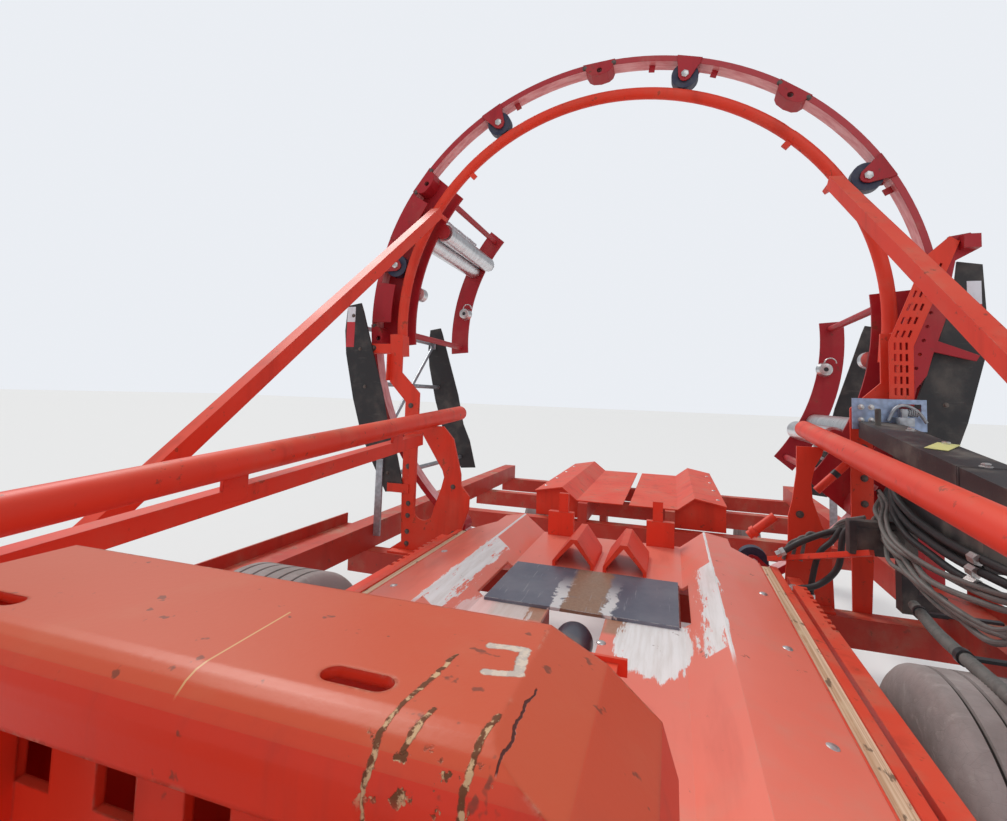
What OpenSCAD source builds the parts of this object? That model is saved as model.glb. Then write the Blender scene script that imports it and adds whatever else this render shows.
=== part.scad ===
// Towed in-line round bale wrapper. Units mm, X forward (towing direction), Y to the left, Z up,
// ground at Z = 0, origin under the middle of the machine.

/* [Wrapping ring] */
// outer radius of the turning ring
ring_r = 1320; // [1300:5:1335]
// radial thickness of the ring's rolled box section
ring_section = 28; // [22:1:34]
// width of the ring's box section along X
ring_width = 80; // [70:1:90]
// height of the ring's axis above the ground
axis_z = 1780; // [1770:5:1800]
// X of the ring's front face
ring_x = -1100; // [-1120:5:-1080]
// diameter of the ring's support rollers
roller_d = 124; // [110:1:126]
// width of a support roller
roller_w = 48; // [36:1:54]
// diameter of the roller bolts
roller_bolt = 20; // [16:1:24]
// thickness of the ring's ears and lugs
ear_t = 8; // [6:1:10]

/* [Fixed hoop] */
// diameter of the hoop's round tube
hoop_tube = 56; // [48:1:60]
// angle of the hoop's ends below the horizontal
hoop_drop = 4; // [2:0.5:5]
// width of the square brace tubes
brace_w = 54; // [46:1:60]
// angle above the horizontal where the braces meet the hoop
brace_angle = 32; // [28:1:36]
// thickness of the gusset and leg plates
leg_t = 12; // [8:1:14]

/* [Loading table] */
// height of the table's floor
floor_z = 735; // [728:1:742]
// half width of the flat floor
floor_half = 315; // [300:1:330]
// half spacing of the two worn ridges
ridge_y = 415; // [400:1:430]
// height of the ridges above the floor
ridge_h = 78; // [65:1:90]
// half width of the table at its outer edges
edge_y = 600; // [590:1:610]
// height of the outer edges above the floor
edge_h = 43; // [35:1:50]
// sheet thickness of the table
sheet_t = 8; // [6:0.5:10]
// half width of the slot for the pusher
slot_half = 88; // [84:1:95]
// table's front end, ahead of the ring
table_front = 2720; // [2680:5:2760]
// rear edge of the steel cross plate, ahead of the ring
cross_rear = 530; // [520:5:560]
// length of the steel cross plate along X
cross_len = 420; // [400:5:430]

/* [Pusher] */
// half width of the pusher's flat top
push_top_half = 203; // [195:1:212]
// half width of the pusher at its sides
push_half = 277; // [270:1:290]
// height of the pusher's top
push_top_z = 1259; // [1240:1:1275]
// pusher's rear face, ahead of the ring
push_rear = 2370; // [2360:5:2380]
// depth of the pusher's top along X
push_depth = 140; // [130:1:150]
// radius of the bend along the top's front edge
push_bend = 26; // [20:1:32]
// height of the pusher's front lip
lip_h = 42; // [36:1:48]
// stroke of the pusher towards the ring
push_stroke = 1350; // [1200:10:1350]
// outer diameter of the push cylinder's barrel
barrel_d = 115; // [100:1:118]
// diameter of the push rod
push_rod_d = 60; // [50:1:70]

/* [Side rails] */
// diameter of the side rail pipes
pipe_d = 76; // [70:1:84]
// half spacing of the pipes at their rear ends
pipe_y = 857; // [850:1:862]
// height of the pipes at their rear ends
pipe_z = 1291; // [1280:1:1300]
// fall of the pipes over their length
pipe_fall = 147; // [130:1:160]
// size of the square tube under the right pipe
sub_tube = 50; // [40:1:56]

/* [Chassis] */
// half spacing of the side beams' centre lines
side_y = 1222; // [1215:1:1230]
// height of a side beam
side_h = 120; // [110:1:130]
// width of a side beam
side_w = 100; // [90:1:104]
// height of the cross beams' tops, where the side beams lie
cross_z = 600; // [595:1:605]
// height of a cross beam
cross_h = 110; // [100:1:110]
// width of a cross beam along X
cross_w = 90; // [80:1:96]
// rear end of the chassis
rear_x = -3700; // [-3750:5:-3650]
// front end of the side beams
front_x = 1750; // [1720:5:1780]
// half spacing of the inner frame rails
rail_y = 250; // [240:1:260]
// width of an inner frame rail
rail_w = 60; // [50:1:70]
// front end of the inner frame rails
rail_front = 2850; // [2820:5:2880]
// middle of the drawbar's eye
eye_x = 3740; // [3720:5:3760]
// bore of the drawbar's eye
eye_bore = 34; // [32:0.5:40]
// width and height of the drawbar's tube
draw_w = 100; // [90:1:110]

/* [Wheels] */
// outside diameter of the main tyres
tyre_d = 787; // [775:1:795]
// width of the main tyres
tyre_w = 330; // [310:1:336]
// rim diameter of the main wheels
rim_d = 381; // [370:1:390]
// half track of the main wheels
track_half = 975; // [970:1:980]
// X of the main axle
axle_x = 30; // [10:5:60]
// spindle diameter of the main hubs
spindle_d = 50; // [40:1:55]
// outside diameter of the rear steered wheels
small_d = 480; // [470:1:486]
// width of the rear steered wheels
small_w = 160; // [140:1:170]
// X of the rear steered axle
small_x = -3330; // [-3350:5:-3310]
// half spacing of the steering pins
king_y = 700; // [690:1:710]
// diameter of the steering pins
king_d = 32; // [28:1:40]

/* [Film stretchers] */
// angle of the first stretcher's film spindle on the ring
film_angle = 171; // [169:1:173]
// radius at which the film spindles stand from the ring's axis
film_r = 1105; // [1100:1:1110]
// diameter of the stretching rollers
stretch_d = 100; // [90:1:102]
// film width that a stretcher takes
film_w = 760; // [740:5:780]

/* [Front] */
// length of the engine bay along X
bay_len = 700; // [650:10:760]
// width of the engine bay
bay_w = 560; // [520:10:600]
// height of the engine cover
cover_h = 620; // [560:10:680]
// diameter of the jack's leg
jack_d = 50; // [44:1:56]
// outside diameter of the rubber wheel that drives the ring
drive_d = 200; // [180:2:210]

/* [Hidden] */
$fn = 48;
slack = 1;
fit = 0.1;
red = "#c8281c";
crimson = "#9c1c22";
steel = "#8f9499";
black = "#1d1d1f";
tyre_c = "#2c2a28";
alu = "#c3c7ca";
ring_in = ring_r - ring_section;
roller_r = ring_in - roller_d / 2 - slack;
roller_x = ring_x - roller_w / 2 - 4;
hoop_r = roller_r - roller_d / 2 - hoop_tube / 2 - slack;
hoop_x = ring_x - 18;
table_rear = ring_x - 30;
ridge_z = floor_z + ridge_h;
edge_z = floor_z + edge_h;
under_z = floor_z - sheet_t;
push_x = ring_x + push_rear;
push_front = push_x + push_depth;
cyl_z = floor_z - 70;
barrel_x = ring_x + 985;
barrel_len = push_stroke + 190;
carriage_back = 60;
carriage_front = barrel_x + barrel_len + push_stroke + 60;
pipe_rear = ring_x - 220;
pipe_front = ring_x + 2500;
pipe_in = 68;
side_in = side_y - side_w / 2;
side_out = side_y + side_w / 2;
side_top = cross_z + side_h;
cross_bot = cross_z - cross_h;
leg_x = ring_x + 118;
gap_front = ring_x + 112;
axle_z = tyre_d / 2;
small_z = small_d / 2;
film_rear = ring_x - ring_width - film_w - 40;
panel_rear = film_rear - 90;
deck_front = film_rear - 140;
bay_x = 1950;
bay_y = rail_y + rail_w / 2 + 90;
drive_r = ring_r + drive_d / 2 + 0.5;
drive_a = -33;
jack_x = eye_x - 640;
draw_top = cross_bot;
draw_mid = draw_top - draw_w / 2;
deck_under = floor_z - 16;
plate_half = floor_half - 15;
deck_rail_y = 270;
post_x = ring_x + 150;
// angles where the plates in front of the stretchers begin and end, and those of the small tabs
front_arcs = [[147, 159], [170, 180]];
tab_angles = [25.8, 69.3, 82.6, 114.1];
eye_r = 55;

function pipe_at(x) = let (t = (x - pipe_rear) / (pipe_front - pipe_rear))
  [x, pipe_y - pipe_in * t, pipe_z - pipe_fall * t];
function on_ring(r, a, x) = [x, r * cos(a), axis_z + r * sin(a)];

module bx(x0, x1, y0, y1, z0, z1) translate([x0, y0, z0]) cube([x1 - x0, y1 - y0, z1 - z0]);
module both() {
  children();
  mirror([0, 1, 0]) children();
}
module rod(p, q, d) {
  v = q - p;
  l = norm(v);
  translate(p) rotate([0, acos(v[2] / l), atan2(v[1], v[0])]) cylinder(d = d, h = l);
}
module bar(p, q, w, h) {
  v = q - p;
  l = norm(v);
  translate(p) rotate([0, -asin(v[2] / l), atan2(v[1], v[0])]) translate([0, -w / 2, -h / 2]) cube([l, w, h]);
}
module yz_plate(pts, x0, x1) translate([x0, 0, 0]) rotate([90, 0, 90]) linear_extrude(x1 - x0) polygon(pts);
module xz_plate(pts, y0, y1) translate([0, y1, 0]) rotate([90, 0, 0]) linear_extrude(y1 - y0) polygon(pts);
module ringed(x) translate([x, 0, axis_z]) rotate([90, 0, 90]) children();
module at_ring(r, a, x) translate(on_ring(r, a, x)) rotate([a, 0, 0]) children();
module along_x(d, h) rotate([0, 90, 0]) cylinder(d = d, h = h);

// chassis
cross_xs = [gap_front, axle_x - cross_w / 2, 900, front_x - cross_w, deck_front - 30, -2950, rear_x];
module cross_beams() color(red) {
  for (x = cross_xs) {
    w = x == axle_x - cross_w / 2 ? rail_y + 300 : side_out;
    bx(x, x + cross_w, -w, w, cross_bot, cross_z);
  }
  bx(rail_front - cross_w, rail_front, -rail_y - rail_w / 2, rail_y + rail_w / 2, cross_bot, cross_z);
}

module frame_rails() color(red) both() {
  bx(gap_front, rail_front, rail_y - rail_w / 2, rail_y + rail_w / 2, cross_z, under_z);
  bx(rear_x, deck_front - 30 + cross_w, deck_rail_y - 30, deck_rail_y + 30, cross_z, deck_under);
  // guides that the pusher's slide bars run in
  bx(ring_x + 930, rail_front, slot_half, slot_half + 10, cross_z, under_z);
  bx(ring_x + 930, rail_front, slot_half - 26, slot_half, cross_z, cyl_z - 52);
}

module main_axle() color(red) {
  bx(axle_x - 50, axle_x + 50, -track_half + 220, track_half - 220, axle_z - 50, axle_z + 50);
  both() {
    translate([axle_x, track_half + 72, axle_z]) rotate([90, 0, 0]) cylinder(d = spindle_d, h = 292);
    bx(axle_x - 40, axle_x + 40, rail_y - 30, rail_y + 30, axle_z + 50, cross_bot);
  }
}

module side_beams() color(red) both() {
  bx(rear_x, front_x, side_in, side_out, cross_z, side_top);
  bx(ring_x + 180, front_x, side_out, side_out + 34, side_top - 8, side_top);
  bx(ring_x + 180, front_x, side_out + 26, side_out + 34, side_top, side_top + 50);
}

// loading table
module table_plates() color(red) {
  edge_in = 85;
  both() difference() {
    yz_plate([[slot_half, floor_z], [floor_half, floor_z], [ridge_y, ridge_z], [edge_y, edge_z],
      [edge_y, edge_z - sheet_t], [ridge_y, ridge_z - sheet_t - 1], [floor_half + 4, under_z],
      [slot_half, under_z]], table_rear, ring_x + table_front);
    // the outer corners are cut back where the rollers pass
    translate([0, 0, floor_z - 100]) linear_extrude(300)
      polygon([[table_rear - 1, edge_y - edge_in], [ring_x + 110, edge_y - edge_in], [ring_x + 230, edge_y + 1],
        [table_rear - 1, edge_y + 1]]);
    // open strip beside the cross plate
    bx(ring_x + cross_rear + 30, ring_x + cross_rear + cross_len - 30, plate_half + 3, floor_half + 18,
      under_z - 1, floor_z + 40);
  }
  bx(table_rear, ring_x + cross_rear + 10, -slot_half - 2, slot_half + 2, under_z, floor_z);
  // folded rear lip
  both() yz_plate([[slot_half - 20, floor_z], [floor_half, floor_z], [ridge_y, ridge_z],
    [edge_y - edge_in, ridge_z - 18], [edge_y - edge_in, ridge_z - 40], [ridge_y, ridge_z - 26],
    [floor_half + 6, floor_z - 24], [slot_half - 20, floor_z - 24]], table_rear - 6, table_rear);
  // outer supports
  for (x = [ring_x + 240, ring_x + 900, ring_x + 1600, ring_x + 2500]) both()
    yz_plate([[rail_y + rail_w / 2, cross_z + 20], [rail_y + rail_w / 2, under_z], [floor_half + 4, under_z],
      [ridge_y, ridge_z - sheet_t - 1], [edge_y - 10, edge_z - 6], [edge_y - 10, edge_z - 60]], x, x + 10);
}

module cross_plate() color(steel)
  bx(ring_x + cross_rear, ring_x + cross_rear + cross_len, -plate_half, plate_half, floor_z, floor_z + 10);

module table_blocks() color(red) {
  // roof shaped runners on both sides of the slot
  for (k = [0, 1]) mirror([0, 1 - k, 0]) translate([0, k * 20, 0]) difference() {
    yz_plate([[8, floor_z], [8, floor_z + 22], [72, floor_z + 110], [98, floor_z + 110], [168, floor_z + 22],
      [168, floor_z]], ring_x + 200, ring_x + 500);
    yz_plate([[20, floor_z - 1], [20, floor_z + 18], [85, floor_z + 96], [156, floor_z + 18], [156, floor_z - 1]],
      ring_x + 199, ring_x + 501);
  }
  // rear posts
  both() {
    bx(table_rear + 5, table_rear + 35, 195, 240, floor_z, floor_z + 200);
    bx(table_rear + 2, table_rear + 40, 168, 290, floor_z, floor_z + 112);
  }
  // guide box beside the slot
  difference() {
    bx(ring_x + 1380, ring_x + 1500, slot_half - 1, slot_half + 75, floor_z, floor_z + 66);
    bx(ring_x + 1388, ring_x + 1501, slot_half + 7, slot_half + 67, floor_z + 8, floor_z + 58);
  }
  bx(ring_x + 1370, ring_x + 1380, slot_half - 1, slot_half + 95, floor_z + 40, floor_z + 78);
}

module bed_gutters() color(red) both() {
  g0 = edge_y;
  yz_plate([[g0, edge_z], [g0 + 5, edge_z], [g0 + 5, edge_z - 34], [g0 + 42, edge_z - 34], [g0 + 42, edge_z - 6],
    [g0 + 68, edge_z - 10], [g0 + 68, edge_z - 16], [g0 + 48, edge_z - 12], [g0 + 48, edge_z - 40],
    [g0, edge_z - 40]], ring_x + 250, ring_x + table_front);
  // rail with teeth along its outer edge
  y0 = 700;
  y1 = 746;
  difference() {
    bx(ring_x + 250, ring_x + 2600, y0, y1, floor_z - 5, floor_z + 3);
    for (i = [0:9]) bx(ring_x + 330 + i * 46, ring_x + 352 + i * 46, y1 - 14, y1 + 2, floor_z - 6, floor_z + 4);
  }
  bx(ring_x + 250, ring_x + 2600, y0, y0 + 6, floor_z - 55, floor_z - 5);
  for (x = [ring_x + 252, ring_x + 1540, ring_x + 2470])
    bx(x, x + 12, rail_y + rail_w / 2, y0 + 4, floor_z - 55, floor_z - 25);
}

// side rails
module side_rails() color(red) {
  both() rod(pipe_at(pipe_rear), pipe_at(pipe_front), pipe_d);
  // square tube that hangs under the right pipe
  u = [pipe_rear + 480, pipe_y + 26, pipe_z - 118];
  v = [pipe_front, pipe_y - 14, pipe_z - pipe_fall - 105];
  mirror([0, 1, 0]) {
    bar(u, v, sub_tube, sub_tube);
    for (t = [0.12, 0.55, 0.93]) translate(u + (v - u) * t) bx(-45, 45, -26, -14, -10, 90);
  }
}

module rail_posts() color(red) {
  p = pipe_at(leg_x + leg_t);
  top = p[2] - pipe_d / 2 - 1;
  mirror([0, 1, 0]) {
    // wide gusset with a rounded notch beside its post
    difference() {
      yz_plate([[p[1] - 96, top - 60], [p[1] - 40, top], [p[1] + 80, top], [990, 1120], [990, 965], [1012, 950],
        [1012, 650], [1085, cross_z], [722, cross_z], [690, 745], [660, 832], [659, 900],
        [705, 952], [707, 1004]], leg_x, leg_x + leg_t);
      yz_plate([[926, 1195], [805, 1016], [795, 983], [809, 927], [847, 816], [955, 816], [955, 1100]],
        leg_x - 1, leg_x + leg_t + 1);
      translate([leg_x - 1, 901, 816]) rotate([0, 90, 0]) cylinder(r = 54, h = leg_t + 2);
    }
    bx(leg_x + leg_t, leg_x + leg_t + 60, 760, 1060, cross_z, cross_z + 10);
    bx(leg_x + leg_t, leg_x + leg_t + 6, 985, 1106, 888, 932);
  }
  // narrow post under the left pipe
  yz_plate([[760, top], [p[1] + 12, top], [851, 1200], [826, 1154], [812, 1085], [817, 1019], [848, 921], [880, 860],
    [890, cross_z], [710, cross_z], [727, 852], [729, 954], [743, 1012], [759, 1126]], leg_x, leg_x + leg_t);
  bx(leg_x + leg_t, leg_x + leg_t + 60, 720, 880, cross_z, cross_z + 10);
  both() {
    q = pipe_at(ring_x + 2460);
    bx(q[0] - 80, q[0], q[1] - 30, q[1] + 22, cross_z, q[2] - pipe_d / 2 - 1);
    bx(q[0] - 80, q[0], rail_y + rail_w / 2, q[1] - 30, cross_z, cross_z + 60);
  }
}

// fixed hoop
module hoop() color(red) {
  ringed(hoop_x) rotate([0, 0, -hoop_drop]) rotate_extrude(angle = 180 + 2 * hoop_drop, $fn = 120)
    translate([hoop_r, 0]) circle(d = hoop_tube, $fn = 32);
  for (a = [46.5, 133.5]) at_ring(hoop_r - hoop_tube / 2 - 12, a, hoop_x) bx(-8, 8, -18, 16, -14, 14);
}

module hoop_legs() color(red) both() {
  e = on_ring(hoop_r, -hoop_drop, hoop_x);
  // clamp block at the hoop's end, and the bar that reaches out to the guard panel
  at_ring(hoop_r, -hoop_drop, hoop_x) bx(-18, leg_x - leg_t - hoop_x, -30, 10, -110, 0);
  bx(ring_x + 40, leg_x - leg_t, e[1] - 45, e[1] + 205, e[2] - 100, e[2] - 50);
  // folded leg
  out = e[1] - 7;
  yz_plate([[out, e[2] - 3], [out - 66, e[2] - 3], [out - 66, 1500], [955, 1395], [955, cross_z], [1020, cross_z],
    [1032, 900], [1032, 1350], [out, 1450]], leg_x - leg_t, leg_x);
  bx(leg_x - leg_t, leg_x + 30, out, out + 8, 1456, e[2] - 105);
}

module hoop_braces() color(red) both() {
  a = on_ring(hoop_r - 49, brace_angle, ring_x + 62);
  b = [ring_x + 2090, side_in - brace_w / 2 - 2, side_top - 28];
  bar(a, b, brace_w, brace_w);
  // lug on the hoop
  at_ring(0, brace_angle, 0) bx(hoop_x - 12, ring_x + 60, hoop_r - 74, hoop_r - hoop_tube / 2 - 0.2, -10, 10);
  // foot on the side beam
  bx(b[0] - 90, b[0] + 30, side_in - 60, side_in, cross_z + 10, b[2] - 10);
}

// pusher
function push_outline(o) = [[-push_half + o, push_top_z - 300 - o], [-push_half + o, push_top_z - 72],
  [-push_half + 9 + o, push_top_z - 43], [-push_half + 40 + o, push_top_z - 17 - o],
  [-push_top_half, push_top_z - o], [push_top_half, push_top_z - o],
  [push_half - 40 - o, push_top_z - 17 - o], [push_half - 9 - o, push_top_z - 43],
  [push_half - o, push_top_z - 72], [push_half - o, push_top_z - 300 - o]];

// side view of the head, with its rounded front bend
module push_profile(o) let (r = push_bend - o, cx = push_front - push_bend, cz = push_top_z - push_bend)
  xz_plate(concat([[push_x + o, push_top_z - 301], [push_x + o, push_top_z - o]],
    [for (i = [0:6]) [cx + r * sin(i * 15), cz + r * cos(i * 15)]], [[push_front - o, push_top_z - 301]]),
    -push_half - 1, push_half + 1);

module pusher_head() color(red) difference() {
  intersection() {
    yz_plate(push_outline(0), push_x, push_front);
    push_profile(0);
  }
  intersection() {
    yz_plate(push_outline(6), push_x, push_front);
    push_profile(6);
  }
  // below its lip the front is open
  yz_plate([for (p = [[-push_half + 40, -302], [-push_half + 40, -lip_h - 36], [-push_top_half + 8, -lip_h],
    [push_top_half - 8, -lip_h], [push_half - 40, -lip_h - 36], [push_half - 40, -302]])
    [p[0], push_top_z + p[1]]], push_front - 20, push_front + 1);
  for (y = [-129, 129]) {
    for (s = [-1, 1]) translate([push_x + 100, y + s * 12, push_top_z - 20]) cylinder(d = 15, h = 40);
    bx(push_x + 92.5, push_x + 107.5, y - 12, y + 12, push_top_z - 20, push_top_z + 20);
  }
}

module pusher_carriage() color(red) {
  // inner plates of the head
  difference() {
    yz_plate(push_outline(6), push_x + 60, push_x + 68);
    for (y = [-150, -75, -2, 60]) bx(push_x + 59, push_x + 69, y, y + 34, push_top_z - 134, push_top_z - 100);
  }
  bx(push_x + 60, push_x + 68, -push_half + 6, push_half - 6, push_top_z - 420, push_top_z - 300);
  // uprights, slide bars and the front yoke that the rod pulls on
  both() {
    bx(push_x - carriage_back, push_x + 200, slot_half - 22, slot_half - 6, cyl_z - 46, floor_z + 24);
    bx(push_x + 10, push_x + 130, slot_half - 22, slot_half - 6, floor_z + 24, push_top_z - 420);
    bx(push_x + 200, carriage_front, slot_half - 22, slot_half - 6, cyl_z - 46, cyl_z + 46);
    xz_plate([[push_x + 68, push_top_z - 420], [push_x + 68, push_top_z - 60], [push_x + 130, push_top_z - 60],
      [push_x + 130, push_top_z - 420]], slot_half + 60, slot_half + 68);
  }
  bx(push_x + 10, push_x + 130, -push_half + 40, push_half - 40, push_top_z - 428, push_top_z - 420);
  bx(carriage_front - 30, carriage_front, -slot_half + 22, slot_half - 22, cyl_z - 46, cyl_z + 46);
}

module push_barrel() color(steel) {
  difference() {
    union() {
      translate([barrel_x, 0, cyl_z]) along_x(barrel_d, barrel_len);
      translate([barrel_x, 0, cyl_z]) sphere(d = barrel_d);
    }
    translate([barrel_x + 100, 0, cyl_z]) along_x(push_rod_d + fit, barrel_len);
  }
  // saddles on the cross beams
  for (x = [axle_x - cross_w / 2, 900]) bx(x, x + cross_w, -45, 45, cross_z, cyl_z - 48);
}

module push_rod() color(alu) translate([carriage_front - 30 - push_stroke - 40, 0, cyl_z])
  along_x(push_rod_d, push_stroke + 40);

// turning ring
module ring_plate() color(crimson) ringed(ring_x - ring_width) rotate_extrude($fn = 144)
  translate([ring_in, 0]) square([ring_section, ring_width]);

module ring_rollers() color(black) for (i = [0:7]) at_ring(roller_r, 30 + i * 45, roller_x) rotate([0, 90, 0])
  translate([0, 0, -roller_w / 2]) difference() {
    cylinder(d = roller_d, h = roller_w);
    translate([0, 0, -1]) cylinder(d = roller_bolt + fit, h = roller_w + 2);
  }

module ear_shape() yz_plate([[ring_r - 2, -58], [ring_in, -54], [ring_in - 20, -46], [roller_r - 14, -28],
  [roller_r - 30, -12], [roller_r - 33, 0], [roller_r - 30, 12], [roller_r - 14, 28], [ring_in - 20, 46],
  [ring_in, 54], [ring_r - 2, 58]], 0, ear_t);

// outline of a lug, and of its hollow, which is o smaller
function lug_outline(o) = [[ring_r - 3, -80 + o], [ring_in, -70 + o], [ring_in - 22 + o / 2, -60 + o],
  [ring_in - 36 + o, -40 + o / 2], [ring_in - 42 + o, 0], [ring_in - 36 + o, 40 - o / 2],
  [ring_in - 22 + o / 2, 60 - o], [ring_in, 70 - o], [ring_r - 3, 80 - o]];

module ring_lugs() color(crimson) {
  for (i = [0:7]) at_ring(0, 30 + i * 45, 0) {
    translate([ring_x, 0, 0]) ear_shape();
    translate([ring_x - ring_width - ear_t, 0, 0]) ear_shape();
    translate([ring_x - ring_width, roller_r, 0]) along_x(roller_bolt, ring_width);
  }
  for (a = [53, 94, 143, 184, 233, 274, 323, 4]) at_ring(0, a, 0) {
    for (x = [ring_x, ring_x - ring_width - ear_t]) difference() {
      yz_plate(lug_outline(0), x, x + ear_t);
      translate([x - 1, ring_in - 17, 0]) rotate([0, 90, 0]) cylinder(d = 26, h = ear_t + 2);
    }
    // curved wall between the two plates of a lug
    difference() {
      yz_plate(lug_outline(0), ring_x - ring_width, ring_x);
      yz_plate(lug_outline(6), ring_x - ring_width - 1, ring_x + 1);
      bx(ring_x - ring_width - 1, ring_x + 1, ring_in - 2, ring_r, -90, 90);
    }
  }
  // plates in front of the stretchers
  for (k = [0, 180], a = front_arcs) ringed(ring_x) rotate([0, 0, k + a[0]])
    rotate_extrude(angle = a[1] - a[0], $fn = 96) translate([ring_in - 92, 0]) square([116, ear_t]);
  // small tabs
  for (a = tab_angles) at_ring(0, a, 0) bx(ring_x - 44, ring_x - 36, ring_in - 34, ring_in - 0.1, -14, 14);
}

// film stretchers, two on the ring
module each_stretcher() for (k = [0, 180]) translate([0, 0, axis_z]) rotate([k, 0, 0]) translate([0, 0, -axis_z])
  children();
// radius and angle of the rollers, and angles of the tie rods
stretch_at = [[1083, 151.3], [1150, 155.5]];
tie_angles = [143, 183];

module stretcher_frames() color(crimson) each_stretcher() {
  x0 = film_rear;
  x1 = ring_x - ring_width - ear_t - 12;
  difference() {
    union() {
      ringed(x0 - 12) rotate([0, 0, 141]) rotate_extrude(angle = 44, $fn = 96) translate([film_r - 30, 0])
        square([120, 12]);
      for (s = stretch_at) translate(on_ring(s[0], s[1], x0 - 12)) along_x(80, 12);
    }
    translate(on_ring(film_r, film_angle, x0 - 13)) along_x(30 + fit, 14);
  }
  for (a = tie_angles) rod(on_ring(film_r + 22, a, x0), on_ring(film_r + 22, a, x1), 34);
  ringed(x1) rotate([0, 0, 140]) rotate_extrude(angle = 46, $fn = 96) translate([film_r - 10, 0])
    square([ring_r - film_r, 12]);
  for (s = stretch_at) translate(on_ring(s[0], s[1], x1)) along_x(80, 12);
}

module stretcher_rollers() color(alu) each_stretcher() {
  x0 = film_rear;
  x1 = ring_x - ring_width - ear_t - 12;
  for (s = stretch_at) {
    translate(on_ring(s[0], s[1], x0)) along_x(30, x1 - x0);
    translate(on_ring(s[0], s[1], x0 + 8)) along_x(stretch_d, x1 - x0 - 16);
  }
  // film spindles
  translate(on_ring(film_r, film_angle, x0 - 30)) rotate([0, 90, 0]) {
    cylinder(d = 30, h = 70);
    translate([0, 0, 31]) cylinder(d1 = 84, d2 = 60, h = 40);
  }
  translate(on_ring(film_r, film_angle, x1 - 50)) along_x(75, 50);
}

// ring drive and guards
module drive_mount() color(crimson) {
  // perforated plate with an arm to the guard panel
  difference() {
    yz_plate([[1100, 1400], [1152, 1400], [1166, 1480], [1200, 1530], [1224, 1622], [1356, 1588], [1368, 1610],
      [1238, 1664], [1264, 1746], [1268, 1812], [1300, 1975], [1376, 2020], [1350, 2082], [1280, 2070], [1180, 1900],
      [1100, 1650]], post_x, post_x + 10);
    for (i = [0:9]) translate([post_x - 1, 1140 + i * 13, 1450 + i * 54]) rotate([0, 90, 0]) cylinder(d = 13, h = 12);
  }
  bx(post_x + 10, post_x + 50, 1312, 1366, 2015, 2068);
  bx(leg_x + 11, ring_x + 186, 1150, 1182, 1330, 1400);
  bx(leg_x + 22, post_x + 10, 1150, 1182, side_top, 1330);
  // plate and motor of the driving wheel
  c = on_ring(drive_r, drive_a, 0);
  yz_plate([[c[1] - 55, c[2] - 60], [c[1] - 55, c[2] + 60], [c[1] + 55, c[2] + 60], [side_out, c[2] - 60],
    [side_out, side_top], [side_in, side_top]], ring_x + 70, ring_x + 80);
  translate([ring_x + 8, c[1], c[2]]) along_x(90, 62);
  translate([ring_x - ring_width, c[1], c[2]]) along_x(25, ring_width + 10);
}

module drive_wheel() color(black) translate(on_ring(drive_r, drive_a, ring_x - 70)) difference() {
  along_x(drive_d, 60);
  translate([-1, 0, 0]) along_x(25 + fit, 62);
}

// middle of the slotted guard at the height z
function guard_mid(z) = 1110 + max(0, z - 1660) * 0.39;
module drive_guard() color(red) {
  x = ring_x + 170;
  difference() {
    yz_plate([[1073, 1436], [1144, 1412], [1146, 1644], [1302, 2050], [1278, 2068], [1199, 1993], [1073, 1660]],
      x, x + 6);
    for (i = [0:4], k = [-1:1]) bx(x - 1, x + 7, 1108 + k * 19, 1116 + k * 19, 1452 + i * 44, 1480 + i * 44);
    for (i = [0:5], k = [-1:1]) translate([x - 1, guard_mid(1690 + i * 52) + k * 21, 1690 + i * 52])
      rotate([-21, 0, 0]) bx(0, 8, -4, 4, -14, 14);
  }
  yz_plate([[1144, 1412], [1152, 1412], [1154, 1642], [1310, 2048], [1302, 2050], [1146, 1644]], post_x + 10, x + 6);
}

// black rubber panels beside the ring, the left front one reaches higher
module guard_panel(x, top) yz_plate([[1318, top], [1398, top - 14], [1408, 1720], [1395, 1594], [1338, 1355],
  [1281, 1179], [1209, 1038], [1119, 884], [1015, 893], [1064, 1076], [1116, 1188], [1163, 1390], [1244, 1641],
  [1300, 1820]], x, x + 10);
module guard_panels() color(black) {
  guard_panel(leg_x, 1978);
  mirror([0, 1, 0]) guard_panel(leg_x, 1868);
  both() guard_panel(panel_rear, 1868);
}

module guard_frames() color(steel) {
  both() {
    for (p = [[1372, 1750], [1318, 1440]]) rod([panel_rear + 10, p[0], p[1]], [leg_x, p[0], p[1]], 26);
    bx(panel_rear - 12, panel_rear, 1135, side_in, side_top - 60, 1050);
    bx(leg_x + 10, leg_x + 22, 1135, side_in, side_top - 60, 1050);
  }
  rod([panel_rear + 10, -1130, 960], [leg_x, -1130, 960], 26);
}

module valve_box() color(black) {
  bar([ring_x + 204, 1025, 1316], [ring_x + 1250, 1025, 1197], 130, 62);
  bx(ring_x + 300, ring_x + 360, 1040, 1090, side_top - 30, 1275);
  bx(ring_x + 300, ring_x + 360, 1090, side_in, side_top - 30, side_top + 40);
  bx(ring_x + 420, ring_x + 980, 1010, 1090, 1000, 1205);
}

module mount_plate() color(steel) difference() {
  bx(ring_x + 186, ring_x + 194, 942, 1185, 1316, 1436);
  bx(ring_x + 180, ring_x + 200, 1095, 1167, 1380, 1418);
  for (y = [966, 1010], z = [1352, 1402]) translate([ring_x + 180, y, z]) along_x(13, 20);
}

// wheels
module tyre(d, w, rim) rotate([90, 0, 0]) rotate_extrude($fn = 72)
  polygon([[rim / 2, -w * 0.36], [d / 2 - 60, -w / 2], [d / 2 - 18, -w / 2 + 4], [d / 2, -w / 2 + 30],
    [d / 2, w / 2 - 30], [d / 2 - 18, w / 2 - 4], [d / 2 - 60, w / 2], [rim / 2, w * 0.36]]);

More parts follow.
